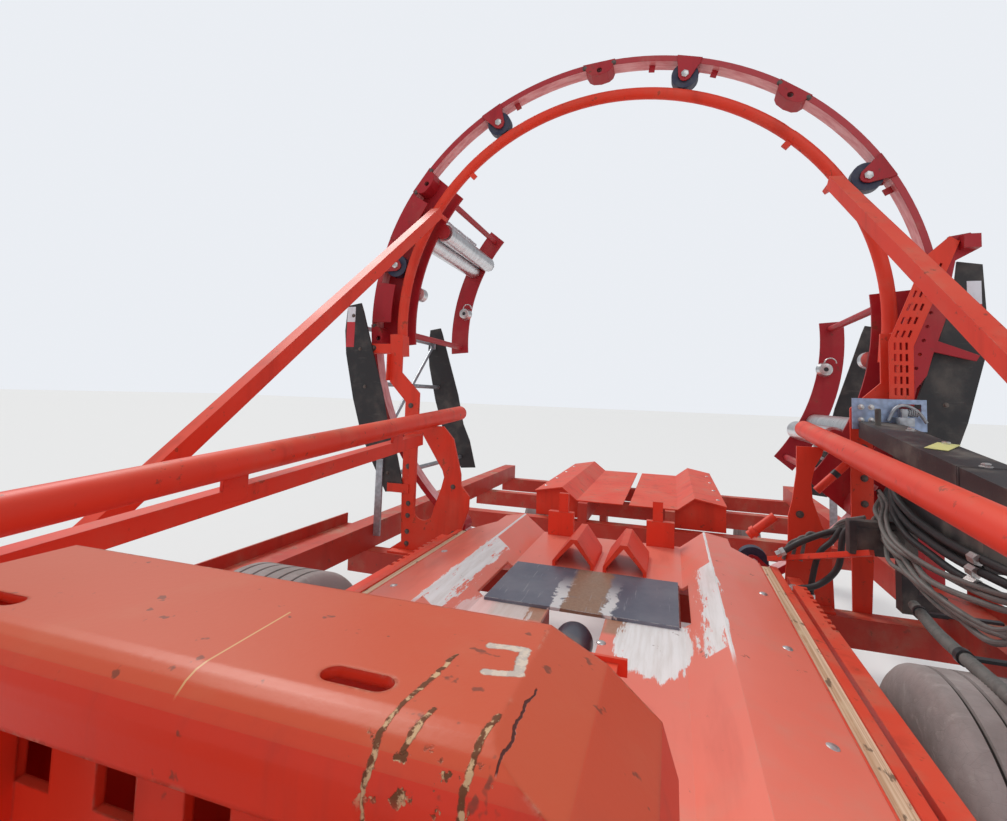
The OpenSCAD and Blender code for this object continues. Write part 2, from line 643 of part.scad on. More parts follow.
module wheel(rim, w, bore) rotate([90, 0, 0]) rotate_extrude($fn = 72)
  polygon([[bore / 2, -78], [bore / 2, 62], [bore / 2 + 20, 62], [bore / 2 + 35, 40], [bore / 2 + 35, -6],
    [rim / 2 - 12, -6], [rim / 2 - 12, w * 0.36], [rim / 2, w * 0.36], [rim / 2, -w * 0.36],
    [rim / 2 - 12, -w * 0.36], [rim / 2 - 12, -18], [bore / 2 + 35, -18], [bore / 2 + 35, -60], [bore / 2 + 20, -78]]);

module main_tyre_left() color(tyre_c) translate([axle_x, track_half, axle_z]) tyre(tyre_d, tyre_w, rim_d);
module main_tyre_right() mirror([0, 1, 0]) main_tyre_left();
module main_wheel_left() color(steel) translate([axle_x, track_half, axle_z]) wheel(rim_d, tyre_w, spindle_d + fit);
module main_wheel_right() mirror([0, 1, 0]) main_wheel_left();

// rear steered axle
module rear_axle() color(red) {
  bx(small_x - 45, small_x + 45, -king_y + 35, king_y - 35, small_z - 40, small_z + 50);
  both() {
    difference() {
      translate([small_x, king_y, small_z - 50]) cylinder(d = 80, h = 100);
      translate([small_x, king_y, small_z - 51]) cylinder(d = king_d + fit, h = 102);
    }
    bx(small_x - 60, small_x + 60, deck_rail_y - 30, deck_rail_y + 30, small_z + 50, cross_z);
  }
}

module knuckle_left() color(steel) {
  translate([small_x, king_y, small_z - 66]) cylinder(d = king_d, h = 132);
  for (z = [small_z - 66, small_z + 54]) translate([0, 0, z]) hull() {
    translate([small_x, king_y, 0]) cylinder(d = 70, h = 12);
    bx(small_x - 40, small_x + 40, king_y + 50, king_y + 60, 0, 12);
  }
  bx(small_x - 40, small_x + 40, king_y + 48, king_y + 60, small_z - 66, small_z + 66);
  translate([small_x, king_y + 200, small_z]) rotate([90, 0, 0]) cylinder(d = 34, h = 142);
}
module knuckle_right() mirror([0, 1, 0]) knuckle_left();

module rear_wheel_left() color(tyre_c) translate([small_x, king_y + 150, small_z]) rotate([90, 0, 0])
  rotate_extrude($fn = 72) polygon([[17 + fit / 2, -60], [17 + fit / 2, 60], [40, 60], [40, 10], [120, 10], [120, 60],
    [150, 62], [small_d / 2 - 24, small_w / 2], [small_d / 2, small_w / 2 - 24], [small_d / 2, -small_w / 2 + 24],
    [small_d / 2 - 24, -small_w / 2], [150, -62], [120, -60], [120, -2], [40, -2], [40, -60]]);
module rear_wheel_right() mirror([0, 1, 0]) rear_wheel_left();

// rear deck under the wrapped bales
module rear_deck() color(red) both() {
  yz_plate([[20, floor_z - 10], [floor_half, floor_z - 10], [ridge_y, ridge_z - 10], [edge_y, edge_z - 10],
    [edge_y, edge_z - 16], [ridge_y, ridge_z - 17], [floor_half + 3, deck_under], [20, deck_under]],
    -(eye_x + eye_r), deck_front);
  for (x = [deck_front - 60, -2950, rear_x]) yz_plate([[deck_rail_y + 30, cross_z],
    [deck_rail_y + 30, deck_under], [floor_half + 3, deck_under], [ridge_y, ridge_z - 17], [edge_y, edge_z - 16],
    [edge_y, cross_z]], x, x + 10);
}

// front: drawbar, platform, engine, tanks, controls
module drawbar() color(red) {
  bx(front_x - cross_w, eye_x - 120, -draw_w / 2, draw_w / 2, draw_top - draw_w, draw_top);
  difference() {
    union() {
      translate([eye_x, 0, draw_mid - 18]) cylinder(r = eye_r, h = 36);
      bx(eye_x - 120, eye_x, -40, 40, draw_mid - 18, draw_mid + 18);
    }
    translate([eye_x, 0, draw_mid - 19]) cylinder(d = eye_bore, h = 38);
  }
  // sleeve of the jack beside the tube
  difference() {
    translate([jack_x, -draw_w / 2 - 40, draw_top - 150]) cylinder(d = 76, h = 600);
    translate([jack_x, -draw_w / 2 - 40, draw_top - 151]) cylinder(d = jack_d + slack, h = 590);
  }
  bx(jack_x - 28, jack_x + 28, -draw_w / 2 - 10, -draw_w / 2, draw_top - draw_w, draw_top);
}

module jack() color(steel) translate([jack_x, -draw_w / 2 - 40, 0]) {
  cylinder(d = jack_d, h = draw_top + 80);
  translate([0, 0, 6]) bx(-100, 100, -100, 100, -6, 6);
}

module platform() color(steel) {
  both() for (x = [bay_x, bay_x + bay_len - 60])
    bx(x, x + 60, rail_y + rail_w / 2, bay_y + bay_w, cross_z, cross_z + 60);
  both() bx(bay_x, bay_x + bay_len, bay_y, bay_y + bay_w, cross_z + 60, cross_z + 68);
}

module engine() color(black) {
  z = cross_z + 68;
  bx(bay_x + 230, bay_x + bay_len - 120, bay_y + 100, bay_y + bay_w - 100, z, z + 400);
  translate([bay_x + bay_len / 2 + 55, bay_y + bay_w / 2, z + 400]) cylinder(d = 200, h = 80);
}

module engine_cover() color(red) difference() {
  z = cross_z + 68.3;
  bx(bay_x + 20, bay_x + bay_len - 20, bay_y + 20, bay_y + bay_w - 20, z, z + cover_h);
  bx(bay_x + 26, bay_x + bay_len - 26, bay_y + 26, bay_y + bay_w - 26, z - 1, z + cover_h - 6);
}

module tanks() color(black) mirror([0, 1, 0]) {
  z = cross_z + 68;
  bx(bay_x + 300, bay_x + bay_len - 20, bay_y + 60, bay_y + bay_w - 20, z, z + 420);
  translate([bay_x + 420, bay_y + 200, z + 420]) cylinder(d = 80, h = 30);
}

module controls() color(steel) mirror([0, 1, 0]) {
  z = cross_z + 68;
  bx(bay_x + 40, bay_x + 100, bay_y + 240, bay_y + 300, z, z + 480);
  bx(bay_x + 10, bay_x + 150, bay_y + 100, bay_y + 460, z + 480, z + 600);
  for (i = [0:5]) rod([bay_x + 80, bay_y + 130 + i * 60, z + 600], [bay_x + 60, bay_y + 130 + i * 60, z + 760], 14);
}

cross_beams();
frame_rails();
main_axle();
side_beams();
table_plates();
cross_plate();
table_blocks();
bed_gutters();
side_rails();
rail_posts();
hoop();
hoop_legs();
hoop_braces();
push_barrel();
drive_mount();
drive_guard();
guard_panels();
guard_frames();
valve_box();
mount_plate();
rear_deck();
drawbar();
platform();
engine();
tanks();
controls();
rear_axle();
pusher_head();
pusher_carriage();
push_rod();
ring_plate();
ring_rollers();
ring_lugs();
stretcher_frames();
stretcher_rollers();
drive_wheel();
main_tyre_left();
main_tyre_right();
main_wheel_left();
main_wheel_right();
knuckle_left();
knuckle_right();
rear_wheel_left();
rear_wheel_right();
jack();
engine_cover();
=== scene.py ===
"""Looks of the towed in-line bale wrapper: its finishes, fasteners, hoses, treads, light and camera.

Everything is in metres in the CAD's frame: +X forward, +Y to the machine's left, +Z up.
"""

import random
from math import atan, cos, pi, radians, sin

import bmesh
import bpy
from mathutils import Matrix, Vector


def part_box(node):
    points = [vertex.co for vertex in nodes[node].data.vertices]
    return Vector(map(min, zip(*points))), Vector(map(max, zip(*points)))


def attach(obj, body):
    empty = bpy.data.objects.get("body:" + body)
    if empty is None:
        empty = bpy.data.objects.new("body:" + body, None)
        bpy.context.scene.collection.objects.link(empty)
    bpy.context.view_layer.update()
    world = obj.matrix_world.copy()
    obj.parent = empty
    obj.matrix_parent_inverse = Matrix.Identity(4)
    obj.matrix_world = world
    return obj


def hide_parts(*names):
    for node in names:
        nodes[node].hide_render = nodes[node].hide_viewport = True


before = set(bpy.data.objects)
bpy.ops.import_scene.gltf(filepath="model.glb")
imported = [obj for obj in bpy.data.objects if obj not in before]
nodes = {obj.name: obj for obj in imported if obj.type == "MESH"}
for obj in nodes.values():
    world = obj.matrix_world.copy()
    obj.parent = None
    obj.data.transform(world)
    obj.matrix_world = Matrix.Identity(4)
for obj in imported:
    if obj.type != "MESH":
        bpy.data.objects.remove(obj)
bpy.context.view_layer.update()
random.seed(7)

TOP = Vector((0, 0, 1))
FRONT = Vector((1, 0, 0))
LEFT = Vector((0, 1, 0))

# Places that several pieces share, read from the frame where it gives them
ring_low, ring_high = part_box("ring_plate")
RING_X = ring_high.x
AXIS_Z = (ring_low.z + ring_high.z) / 2
RING_R = (ring_high.z - ring_low.z) / 2
RING_IN = RING_R - 0.028
FLOOR_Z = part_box("cross_plate")[0].z
EDGE_Z = FLOOR_Z + 0.043
RIDGE_Y = 0.415
PUSH_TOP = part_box("pusher_head")[1].z
PUSH_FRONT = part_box("pusher_head")[1].x
LEG_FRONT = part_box("rail_posts")[0].x + 0.012
PANEL_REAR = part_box("guard_panels")[0].x
PANEL_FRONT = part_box("guard_panels")[1].x
STRETCH_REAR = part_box("stretcher_frames")[0].x
STRETCH_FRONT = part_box("stretcher_frames")[1].x
BEAM_REAR = -0.896
BEAM_HEIGHT = 1.347
BEAM_FALL = 0.1138


def outward(degrees):
    """The direction away from the ring's axis at an angle."""
    a = radians(degrees)
    return Vector((0, cos(a), sin(a)))


def on_ring(radius, degrees, x):
    """A point at a radius and angle round the ring's axis."""
    return Vector((x, 0, AXIS_Z)) + outward(degrees) * radius


def beam_top(x):
    """The height of the black beam's sloping top."""
    return BEAM_HEIGHT - BEAM_FALL * (x - BEAM_REAR)


# Finishes


class Nodes:
    """A node tree, with short calls for the nodes that the finishes and the light share."""

    def __init__(self, tree):
        self.tree = tree

    def add(self, kind, output, values=(), **settings):
        """A node with its settings and inputs, which are links or numbers. Gives one output."""
        made = self.tree.nodes.new(kind)
        for key, value in settings.items():
            setattr(made, key, value)
        for key, value in dict(values).items():
            self.feed(made.inputs[key], value)
        return made.outputs[output]

    def feed(self, socket, value):
        """Links an output to a socket, or sets the socket's own value."""
        if isinstance(value, bpy.types.NodeSocket):
            self.tree.links.new(value, socket)
        elif socket.type == "RGBA":
            socket.default_value = (*value, 1)
        else:
            socket.default_value = value

    def maths(self, operation, a, b=0.0, clamp=False):
        return self.add("ShaderNodeMath", 0, {0: a, 1: b}, operation=operation, use_clamp=clamp)

    def plus(self, a, b):
        return self.maths("ADD", a, b)

    def minus(self, a, b):
        return self.maths("SUBTRACT", a, b)

    def times(self, *values):
        result = values[0]
        for value in values[1:]:
            result = self.maths("MULTIPLY", result, value)
        return result

    def either(self, *values):
        result = values[0]
        for value in values[1:]:
            result = self.maths("MAXIMUM", result, value)
        return result

    def moved(self, value, jitter, amount):
        """A value moved to and fro by amount times a jitter."""
        return self.plus(value, self.times(jitter, amount))

    def blend(self, amount, a, b):
        """A number that goes from a to b by amount."""
        return self.add("ShaderNodeMapRange", "Result", {"Value": amount, "To Min": a, "To Max": b})

    def band(self, value, low, high):
        """0 below low and 1 above high, smooth between; low may be above high."""
        values = {"Value": value, "From Min": min(low, high), "From Max": max(low, high)}
        result = self.add("ShaderNodeMapRange", "Result", values, interpolation_type="SMOOTHSTEP")
        return result if low <= high else self.minus(1.0, result)

    def near(self, value, middle, half, soft):
        """1 where value is within half of middle, falling to 0 over soft."""
        away = self.maths("ABSOLUTE", self.minus(value, middle))
        return self.band(away, half + soft, half)

    def mix(self, amount, a, b):
        return self.add("ShaderNodeMix", 2, {"Factor": amount, 6: a, 7: b}, data_type="RGBA")


class Finish(Nodes):
    """A material, built up in layers of colour."""

    def __init__(self, name, roughness=0.5, metallic=0.0, coat=0.0):
        self.material = bpy.data.materials.new(name)
        self.material.use_nodes = True
        super().__init__(self.material.node_tree)
        self.shader = self.tree.nodes["Principled BSDF"].inputs
        self.shader["Roughness"].default_value = roughness
        self.shader["Metallic"].default_value = metallic
        self.shader["Coat Weight"].default_value = coat
        self.place = self.add("ShaderNodeTexCoord", "Object")
        self.colour = None

    def stretched(self, scale):
        """The place, or the place times a scale along each axis."""
        if scale is None:
            return self.place
        return self.add("ShaderNodeVectorMath", 0, {0: self.place, 1: scale}, operation="MULTIPLY")

    def noise(self, scale, detail, stretch=None, roughness=0.6):
        values = {"Vector": self.stretched(stretch), "Scale": scale, "Detail": detail, "Roughness": roughness}
        return self.add("ShaderNodeTexNoise", "Fac", values)

    def jitter(self, scale, detail, **more):
        """Noise about 0, which roughens the edge of a mark."""
        return self.minus(self.noise(scale, detail, **more), 0.5)

    def patches(self, scale, detail, low, high, **more):
        """Noise cut to patches: 0 where it is below low and 1 where it is above high."""
        return self.band(self.noise(scale, detail, **more), low, high)

    def cells(self, scale, feature="F1", stretch=None):
        values = {"Vector": self.stretched(stretch), "Scale": scale}
        return self.add("ShaderNodeTexVoronoi", "Distance", values, feature=feature)

    def axes(self):
        """The place's X, Y and Z."""
        return [self.add("ShaderNodeSeparateXYZ", i, {0: self.place}) for i in range(3)]

    def upward(self):
        """1 on what faces up, 0 on sides and below."""
        normal = self.add("ShaderNodeNewGeometry", "Normal")
        return self.band(self.add("ShaderNodeSeparateXYZ", 2, {0: normal}), 0.35, 0.95)

    def rounded(self, radius):
        """The normal of edges rounded by radius, for the bump and for the wear."""
        return self.add("ShaderNodeBevel", "Normal", {"Radius": radius}, samples=3)

    def worn_edges(self, rounded, share, *patches):
        """share at sharp edges where patches of noise are, 0 on flats."""
        values = {0: rounded, 1: self.add("ShaderNodeNewGeometry", "Normal")}
        flat = self.add("ShaderNodeVectorMath", "Value", values, operation="DOT_PRODUCT")
        return self.times(self.band(flat, 0.985, 0.86), self.patches(*patches), share)

    def over(self, amount, colour):
        """Lays a colour over the layers so far, where amount is above 0."""
        self.colour = self.mix(amount, self.colour, colour)

    def bump(self, height, distance, normal=None, strength=1.0):
        values = {"Strength": strength, "Distance": distance, "Height": height}
        if normal is not None:
            values["Normal"] = normal
        self.feed(self.shader["Normal"], self.add("ShaderNodeBump", "Normal", values))

    def finish(self, roughness=None, metallic=None):
        for name, value in (("Base Color", self.colour), ("Roughness", roughness), ("Metallic", metallic)):
            if value is not None:
                self.feed(self.shader[name], value)
        return self.material


RED = (0.8, 0.048, 0.018)
FADED = (0.8, 0.135, 0.07)
# Crimson: the machine's red partly darkened by painted shade, as the ring looks on its shaded side.
SHADED_CRIMSON = (0.42, 0.016, 0.026)
DUST = (0.42, 0.31, 0.21)
RUST = (0.16, 0.055, 0.022)
PRIMER = (0.56, 0.42, 0.3)


def darker(colour, share):
    return tuple(c * share for c in colour)


def paint(name, base=RED, faded=FADED, fading=0.55, dust=0.3, wear=0.5, rust=0.55, gloss=0.4):
    """Machine paint: sun fade and dust on what faces up, runs of dirt, worn edges, chips down to rust."""
    m = Finish(name, coat=0.06)
    m.shader["Coat Roughness"].default_value = 0.35
    m.shader["Specular IOR Level"].default_value = 0.35
    soft = m.rounded(0.003)
    broad = m.noise(1.7, 3)
    fine = m.noise(34, 6)
    up = m.upward()
    m.colour = m.mix(m.times(m.band(broad, 0.35, 0.75), 0.45), base, darker(base, 0.82))
    m.over(m.times(up, fading, m.patches(3.1, 4, 0.2, 0.7)), faded)
    dirt = m.times(m.either(up, 0.35), m.patches(6.5, 7, 0.46, 0.74), dust)
    m.over(dirt, DUST)
    runs = m.patches(9, 4, 0.52, 0.74, stretch=(1.0, 1.0, 0.12))
    m.over(m.times(runs, 0.34), darker(base, 0.45))
    specks = m.times(m.band(fine, 0.62, 0.7), m.band(broad, 0.35, 0.6), 0.6)
    m.over(specks, (0.1, 0.045, 0.03))
    worn = m.worn_edges(soft, wear, 22, 5, 0.5, 0.62)
    chips = m.times(m.patches(13, 8, 0.635, 0.66, roughness=0.7), rust)
    m.over(worn, m.mix(m.band(fine, 0.4, 0.6), PRIMER, RUST))
    m.over(chips, RUST)
    rough = m.either(m.blend(m.noise(5, 4), gloss, gloss + 0.16), m.times(m.either(dirt, chips), 0.8))
    m.bump(m.minus(m.times(m.noise(260, 2), 0.12), m.either(worn, chips)), 0.0006, soft, 0.6)
    return m.finish(rough)


def worn_table():
    """The loading table: salmon paint, partly painted glare; paint polished to bright metal along its ridges
    and where bales slide, its near white partly a painted reflection.
    """
    m = Finish("worn_table_paint", coat=0.1)
    x, y = m.axes()[:2]
    across = m.maths("ABSOLUTE", y)
    soft = m.rounded(0.003)
    ragged = m.jitter(30, 6, stretch=(0.22, 1.6, 1.0), roughness=0.75)
    # Salmon pink paint in two tones: partly fade, partly painted glare of the sun on the plates.
    fading = m.times(m.patches(1.9, 4, 0.3, 0.7), 0.35)
    m.colour = m.mix(fading, (0.86, 0.215, 0.15), (0.82, 0.15, 0.098))
    m.over(m.times(m.patches(7, 7, 0.48, 0.75), m.upward(), 0.35), (0.66, 0.3, 0.22))
    streaks = m.times(m.patches(5, 5, 0.56, 0.72, stretch=(0.2, 1, 1)), 0.25)
    m.over(streaks, (0.42, 0.05, 0.03))
    # thin bright line on each ridge, wide where the bales press
    off_ridge = m.minus(across, RIDGE_Y)
    line = m.near(m.moved(off_ridge, ragged, 0.008), 0.0, 0.0035, 0.002)
    line = m.times(line, m.band(m.moved(x, ragged, 0.2), 0.22, 0.1))
    press = m.near(x, -0.28, 0.26, 0.18)
    wide = m.near(m.moved(off_ridge, ragged, 0.13), -0.024, 0.022, 0.006)
    wide = m.times(wide, m.band(press, 0.3, 0.36))
    # bright oval on each side of the barrel, fainter on the right
    oval_x = m.maths("DIVIDE", m.minus(x, -0.035), 0.215)
    oval_y = m.maths("DIVIDE", m.minus(across, 0.235), 0.105)
    reach = m.moved(m.plus(m.times(oval_x, oval_x), m.times(oval_y, oval_y)), ragged, 1.9)
    oval = m.times(m.band(reach, 1.04, 0.92), m.blend(m.maths("SIGN", y), 0.55, 1.0))
    bare_and_sheen = m.either(line, wide, oval)
    # brown rust between the slot and the cross plate
    brown = m.near(m.moved(across, ragged, 0.05), 0.17, 0.07, 0.03)
    brown = m.times(m.near(x, -0.11, 0.05, 0.03), brown, 0.85)
    m.over(brown, m.mix(m.noise(80, 5), (0.28, 0.14, 0.07), (0.44, 0.29, 0.19)))
    grain = m.patches(60, 4, 0.35, 0.7, stretch=(0.08, 1, 1))
    # Polished bare metal, painted near white: partly real wear, partly a painted reflection.
    m.over(bare_and_sheen, m.mix(grain, (0.95, 0.94, 0.93), (0.82, 0.79, 0.76)))
    edge = m.worn_edges(soft, 0.5, 18, 5, 0.45, 0.6)
    m.over(edge, PRIMER)
    chips = m.times(m.patches(15, 8, 0.655, 0.67, roughness=0.7), 0.7)
    m.over(chips, RUST)
    rough = m.blend(bare_and_sheen, m.blend(m.noise(4, 4), 0.3, 0.46), 0.3)
    m.bump(m.minus(m.times(m.noise(220, 2), 0.1), m.either(bare_and_sheen, chips)), 0.0005, soft, 0.5)
    return m.finish(rough, m.times(bare_and_sheen, 0.08))


def stroke(m, x, y, start, end, half, soft):
    """1 within half of a line on the pusher. Its ends are distances behind the front edge, and Ys."""
    dx, dy = start[0] - end[0], end[1] - start[1]
    px = m.minus(x, PUSH_FRONT - start[0])
    py = m.minus(y, start[1])
    share = m.plus(m.times(px, dx), m.times(py, dy))
    along = m.maths("DIVIDE", share, dx * dx + dy * dy, clamp=True)
    ex = m.minus(px, m.times(along, dx))
    ey = m.minus(py, m.times(along, dy))
    far = m.maths("SQRT", m.plus(m.times(ex, ex), m.times(ey, ey)))
    return m.band(far, half + soft, half)


def pusher_paint():
    """The pusher's faded head: rusted weld lines, chips along its front bend, a crack at the shoulder."""
    m = Finish("pusher_paint", coat=0.07)
    m.shader["Coat Roughness"].default_value = 0.22
    m.shader["Specular IOR Level"].default_value = 0.32
    x, y, z = m.axes()
    soft = m.rounded(0.004)
    up = m.upward()
    ragged = m.jitter(90, 6, roughness=0.75)
    fine = m.noise(150, 5)
    ragged_x = m.moved(x, ragged, 0.006)
    ragged_y = m.moved(y, m.jitter(75, 6), 0.007)

    def depth(none, full):
        """0 at the first depth below the top, and 1 at the second."""
        return m.band(z, PUSH_TOP - none, PUSH_TOP - full)

    fading = m.times(m.patches(2.2, 4, 0.3, 0.7), 0.5)
    m.colour = m.mix(fading, (0.78, 0.046, 0.018), (0.66, 0.034, 0.014))
    m.over(m.times(up, m.blend(m.noise(4, 5), 0.65, 0.95)), (0.57, 0.112, 0.045))
    m.over(m.times(up, m.patches(14, 8, 0.5, 0.78), 0.22), (0.6, 0.21, 0.11))
    runs = m.patches(22, 5, 0.5, 0.75, stretch=(1, 1, 0.1))
    m.over(m.times(runs, m.minus(1.0, up), 0.35), (0.3, 0.045, 0.032))
    # Darker red streaks low on the front face: partly dirt, partly painted shade.
    low_front_shade = m.times(depth(0.045, 0.075), m.band(x, PUSH_FRONT - 0.03, PUSH_FRONT - 0.012))
    grime = m.blend(m.noise(16, 5, stretch=(1, 1, 0.2)), 0.35, 0.75)
    m.over(m.times(low_front_shade, grime), (0.38, 0.05, 0.036))
    m.over(m.times(m.patches(60, 3, 0.66, 0.71), 0.7), (0.13, 0.05, 0.03))
    welds = m.either(
        stroke(m, ragged_x, ragged_y, (0.001, 0.157), (0.081, 0.164), 0.0009, 0.0007),
        stroke(m, ragged_x, ragged_y, (0.009, 0.17), (0.031, 0.174), 0.0009, 0.0007),
        stroke(m, ragged_x, ragged_y, (0.0, 0.198), (0.036, 0.201), 0.001, 0.0007),
    )
    burnt = m.either(
        stroke(m, ragged_x, ragged_y, (0.099, 0.178), (0.101, 0.197), 0.0025, 0.0012),
        stroke(m, ragged_x, ragged_y, (0.101, 0.197), (0.074, 0.2), 0.0022, 0.0012),
        stroke(m, ragged_x, ragged_y, (0.074, 0.2), (0.07, 0.184), 0.0025, 0.0012),
    )
    scratch = stroke(m, x, y, (0.006, 0.052), (0.093, 0.049), 0.0004, 0.0004)
    bend = m.times(m.near(ragged_x, PUSH_FRONT - 0.003, 0.007, 0.003), depth(0.03, 0.018))
    bend = m.times(bend, m.near(m.moved(y, ragged, 0.05), 0.178, 0.02, 0.004), m.patches(95, 5, 0.55, 0.59))
    crack = m.near(m.moved(y, m.jitter(28, 4), 0.012), 0.209, 0.0004, 0.0003)
    crack = m.times(crack, m.near(x, PUSH_FRONT - 0.04, 0.03, 0.002), depth(0.05, 0.03))
    marks = m.times(m.either(welds, bend), depth(0.042, 0.03))
    rusted = m.mix(m.band(fine, 0.42, 0.5), (0.62, 0.4, 0.22), RUST)
    m.over(m.either(marks, burnt), rusted)
    m.over(m.times(burnt, 0.7), (0.74, 0.66, 0.58))
    m.over(m.times(scratch, depth(0.01, 0.004), 0.6), (0.76, 0.56, 0.24))
    m.over(crack, (0.09, 0.02, 0.015))
    edge = m.worn_edges(soft, 0.7, 26, 6, 0.53, 0.6)
    m.over(edge, m.mix(m.band(fine, 0.45, 0.56), PRIMER, RUST))
    rough = m.either(m.blend(m.noise(6, 5), 0.28, 0.44), m.times(m.either(marks, edge), 0.85))
    dents = m.either(crack, m.times(m.either(bend, burnt), 0.6))
    height = m.minus(m.times(m.noise(200, 3), 0.15), dents)
    height = m.plus(height, m.times(welds, m.blend(m.noise(240, 2), 0.4, 1.2)))
    m.bump(height, 0.0009, soft, 0.7)
    return m.finish(rough)


def ring_paint():
    """The turning ring: crimson outside, partly painted shade; pale on its inner face, partly painted light,
    with scuffs and dust.
    """
    m = Finish("ring_paint", coat=0.15)
    x, y, z = m.axes()
    high = m.minus(z, AXIS_Z)
    radius = m.maths("SQRT", m.plus(m.times(y, y), m.times(high, high)))
    soft = m.rounded(0.003)
    m.colour = m.mix(m.times(m.patches(2.3, 4, 0.3, 0.7), 0.5), SHADED_CRIMSON, (0.45, 0.026, 0.032))
    # Pale pink inner face: partly scuffs, partly painted light where the inside is lit.
    inside = m.band(radius, RING_IN + 0.004, RING_IN + 0.001)
    inside = m.times(inside, m.band(x, RING_X - 0.001, RING_X - 0.004))
    scuffs = m.patches(24, 7, 0.35, 0.7, stretch=(1.8, 0.5, 0.5))
    m.over(inside, m.mix(scuffs, (0.8, 0.42, 0.42), (0.62, 0.17, 0.18)))
    m.over(m.times(m.patches(9, 6, 0.55, 0.75), 0.25), DUST)
    edge = m.worn_edges(soft, 0.5, 16, 5, 0.45, 0.6)
    m.over(edge, (0.55, 0.28, 0.24))
    m.bump(m.times(m.noise(180, 3), 0.4), 0.0005, soft, 0.5)
    return m.finish(m.blend(m.noise(6, 4), 0.32, 0.5))


def zinc(name, base=(0.5, 0.53, 0.57), grime=0.35):
    """Galvanised steel: soft spangle, grime in patches."""
    m = Finish(name, metallic=0.75)
    m.colour = m.mix(m.band(m.cells(55), 0.1, 0.9), base, darker(base, 0.72))
    dirt = m.times(m.patches(11, 7, 0.48, 0.72), grime)
    m.over(dirt, (0.22, 0.16, 0.11))
    m.bump(m.noise(90, 4), 0.0004, m.rounded(0.002), 0.4)
    return m.finish(m.blend(m.noise(18, 5), 0.34, 0.58), m.blend(dirt, 0.75, 0.15))


def cross_plate_steel():
    """The steel plate over the slot: blue grey, rusted in the middle, bright at its worn edges."""
    m = Finish("cross_plate_steel", metallic=0.35)
    x, y = m.axes()[:2]
    soft = m.rounded(0.003)
    ragged = m.jitter(26, 6, roughness=0.7)
    m.colour = m.mix(m.patches(5, 6, 0.3, 0.7), (0.125, 0.135, 0.185), (0.2, 0.205, 0.25))
    middle = m.near(m.moved(y, ragged, 0.05), 0.01, 0.055, 0.02)
    brown = m.mix(m.noise(90, 5), (0.27, 0.13, 0.075), (0.47, 0.31, 0.21))
    m.over(m.times(middle, m.patches(12, 5, 0.2, 0.4)), brown)
    rim_y = m.moved(m.maths("ABSOLUTE", m.minus(y, 0.01)), ragged, 0.09)
    rim = m.times(m.near(rim_y, 0.082, 0.013, 0.008), m.band(x, -0.5, -0.25))
    edge = m.worn_edges(soft, 1.0, 14, 5, 0.4, 0.55)
    m.over(m.either(rim, edge), (0.8, 0.79, 0.78))
    scratches = m.patches(120, 3, 0.64, 0.7, stretch=(0.06, 1, 1))
    m.over(m.times(scratches, 0.5), (0.42, 0.42, 0.45))
    m.bump(m.noise(120, 4), 0.0004, soft, 0.4)
    return m.finish(m.blend(m.noise(9, 5), 0.28, 0.5))


def rubber(name, base=(0.024, 0.023, 0.025), dust=0.4):
    """Black rubber or worn black sheet with dust in its low places."""
    m = Finish(name, roughness=0.7)
    powder = m.times(m.patches(7, 7, 0.45, 0.75), dust)
    m.colour = m.mix(powder, base, (0.2, 0.175, 0.15))
    scuffs = m.patches(40, 4, 0.62, 0.72, stretch=(1, 0.2, 1))
    m.over(m.times(scuffs, 0.3), (0.13, 0.12, 0.11))
    m.bump(m.noise(70, 5), 0.0008, m.rounded(0.002), 0.5)
    return m.finish(m.blend(powder, 0.52, 0.9))


def tyre_rubber():
    """Dusty tyre: pale grey brown on the ribs, painted shade in the grooves, fine cracks."""
    m = Finish("tyre_rubber", roughness=0.85)
    dusty = m.patches(5, 7, 0.25, 0.7)
    m.colour = m.mix(dusty, (0.2, 0.17, 0.158), (0.37, 0.325, 0.315))
    scuffs = m.patches(30, 5, 0.55, 0.7, stretch=(1, 0.2, 1))
    m.over(m.times(scuffs, 0.5), (0.42, 0.38, 0.36))
    groove_shade = m.add("ShaderNodeNewGeometry", "Pointiness")
    # Painted shade in the tread's grooves, where the surface is hollow.
    m.over(m.band(groove_shade, 0.485, 0.44), (0.03, 0.026, 0.022))
    cracks = m.band(m.cells(45, "DISTANCE_TO_EDGE", (1, 0.5, 1)), 0.035, 0.01)
    m.over(m.times(cracks, 0.06), (0.05, 0.04, 0.035))
    m.bump(m.minus(m.noise(60, 5), m.times(cracks, 0.15)), 0.0012, strength=0.7)
    return m.finish(m.blend(dusty, 0.7, 0.92))


def aluminium():
    """Ribbed aluminium rollers, scuffed by film."""
    m = Finish("aluminium_roller", metallic=0.9)
    lines = m.noise(140, 3, stretch=(1, 0.1, 0.1))
    m.colour = m.mix(m.band(lines, 0.35, 0.7), (0.8, 0.8, 0.82), (0.55, 0.56, 0.58))
    m.over(m.times(m.patches(12, 5, 0.58, 0.72), 0.4), (0.3, 0.29, 0.28))
    m.bump(lines, 0.0005, strength=0.4)
    return m.finish(m.blend(m.noise(20, 4), 0.2, 0.42))


def roller_plastic():
    """Blue black plastic of the ring's rollers, worn by the hoop."""
    m = Finish("roller_plastic", roughness=0.4)
    m.colour = m.mix(m.patches(20, 5, 0.35, 0.7), (0.016, 0.022, 0.062), (0.05, 0.055, 0.085))
    m.bump(m.noise(90, 3), 0.0005, m.rounded(0.002), 0.4)
    return m.finish(m.blend(m.noise(25, 4), 0.3, 0.55))


def barrel_paint():
    """The push cylinder: dark blue grey, dusty on top."""
    m = Finish("barrel_paint", coat=0.2)
    dirt = m.times(m.patches(12, 6, 0.42, 0.7), m.either(m.upward(), 0.4), 0.6)
    m.colour = m.mix(m.patches(4, 4, 0.3, 0.7), (0.055, 0.06, 0.085), (0.1, 0.105, 0.135))
    m.over(dirt, (0.25, 0.21, 0.19))
    m.bump(m.noise(140, 3), 0.0004, strength=0.4)
    return m.finish(m.blend(dirt, 0.32, 0.7))


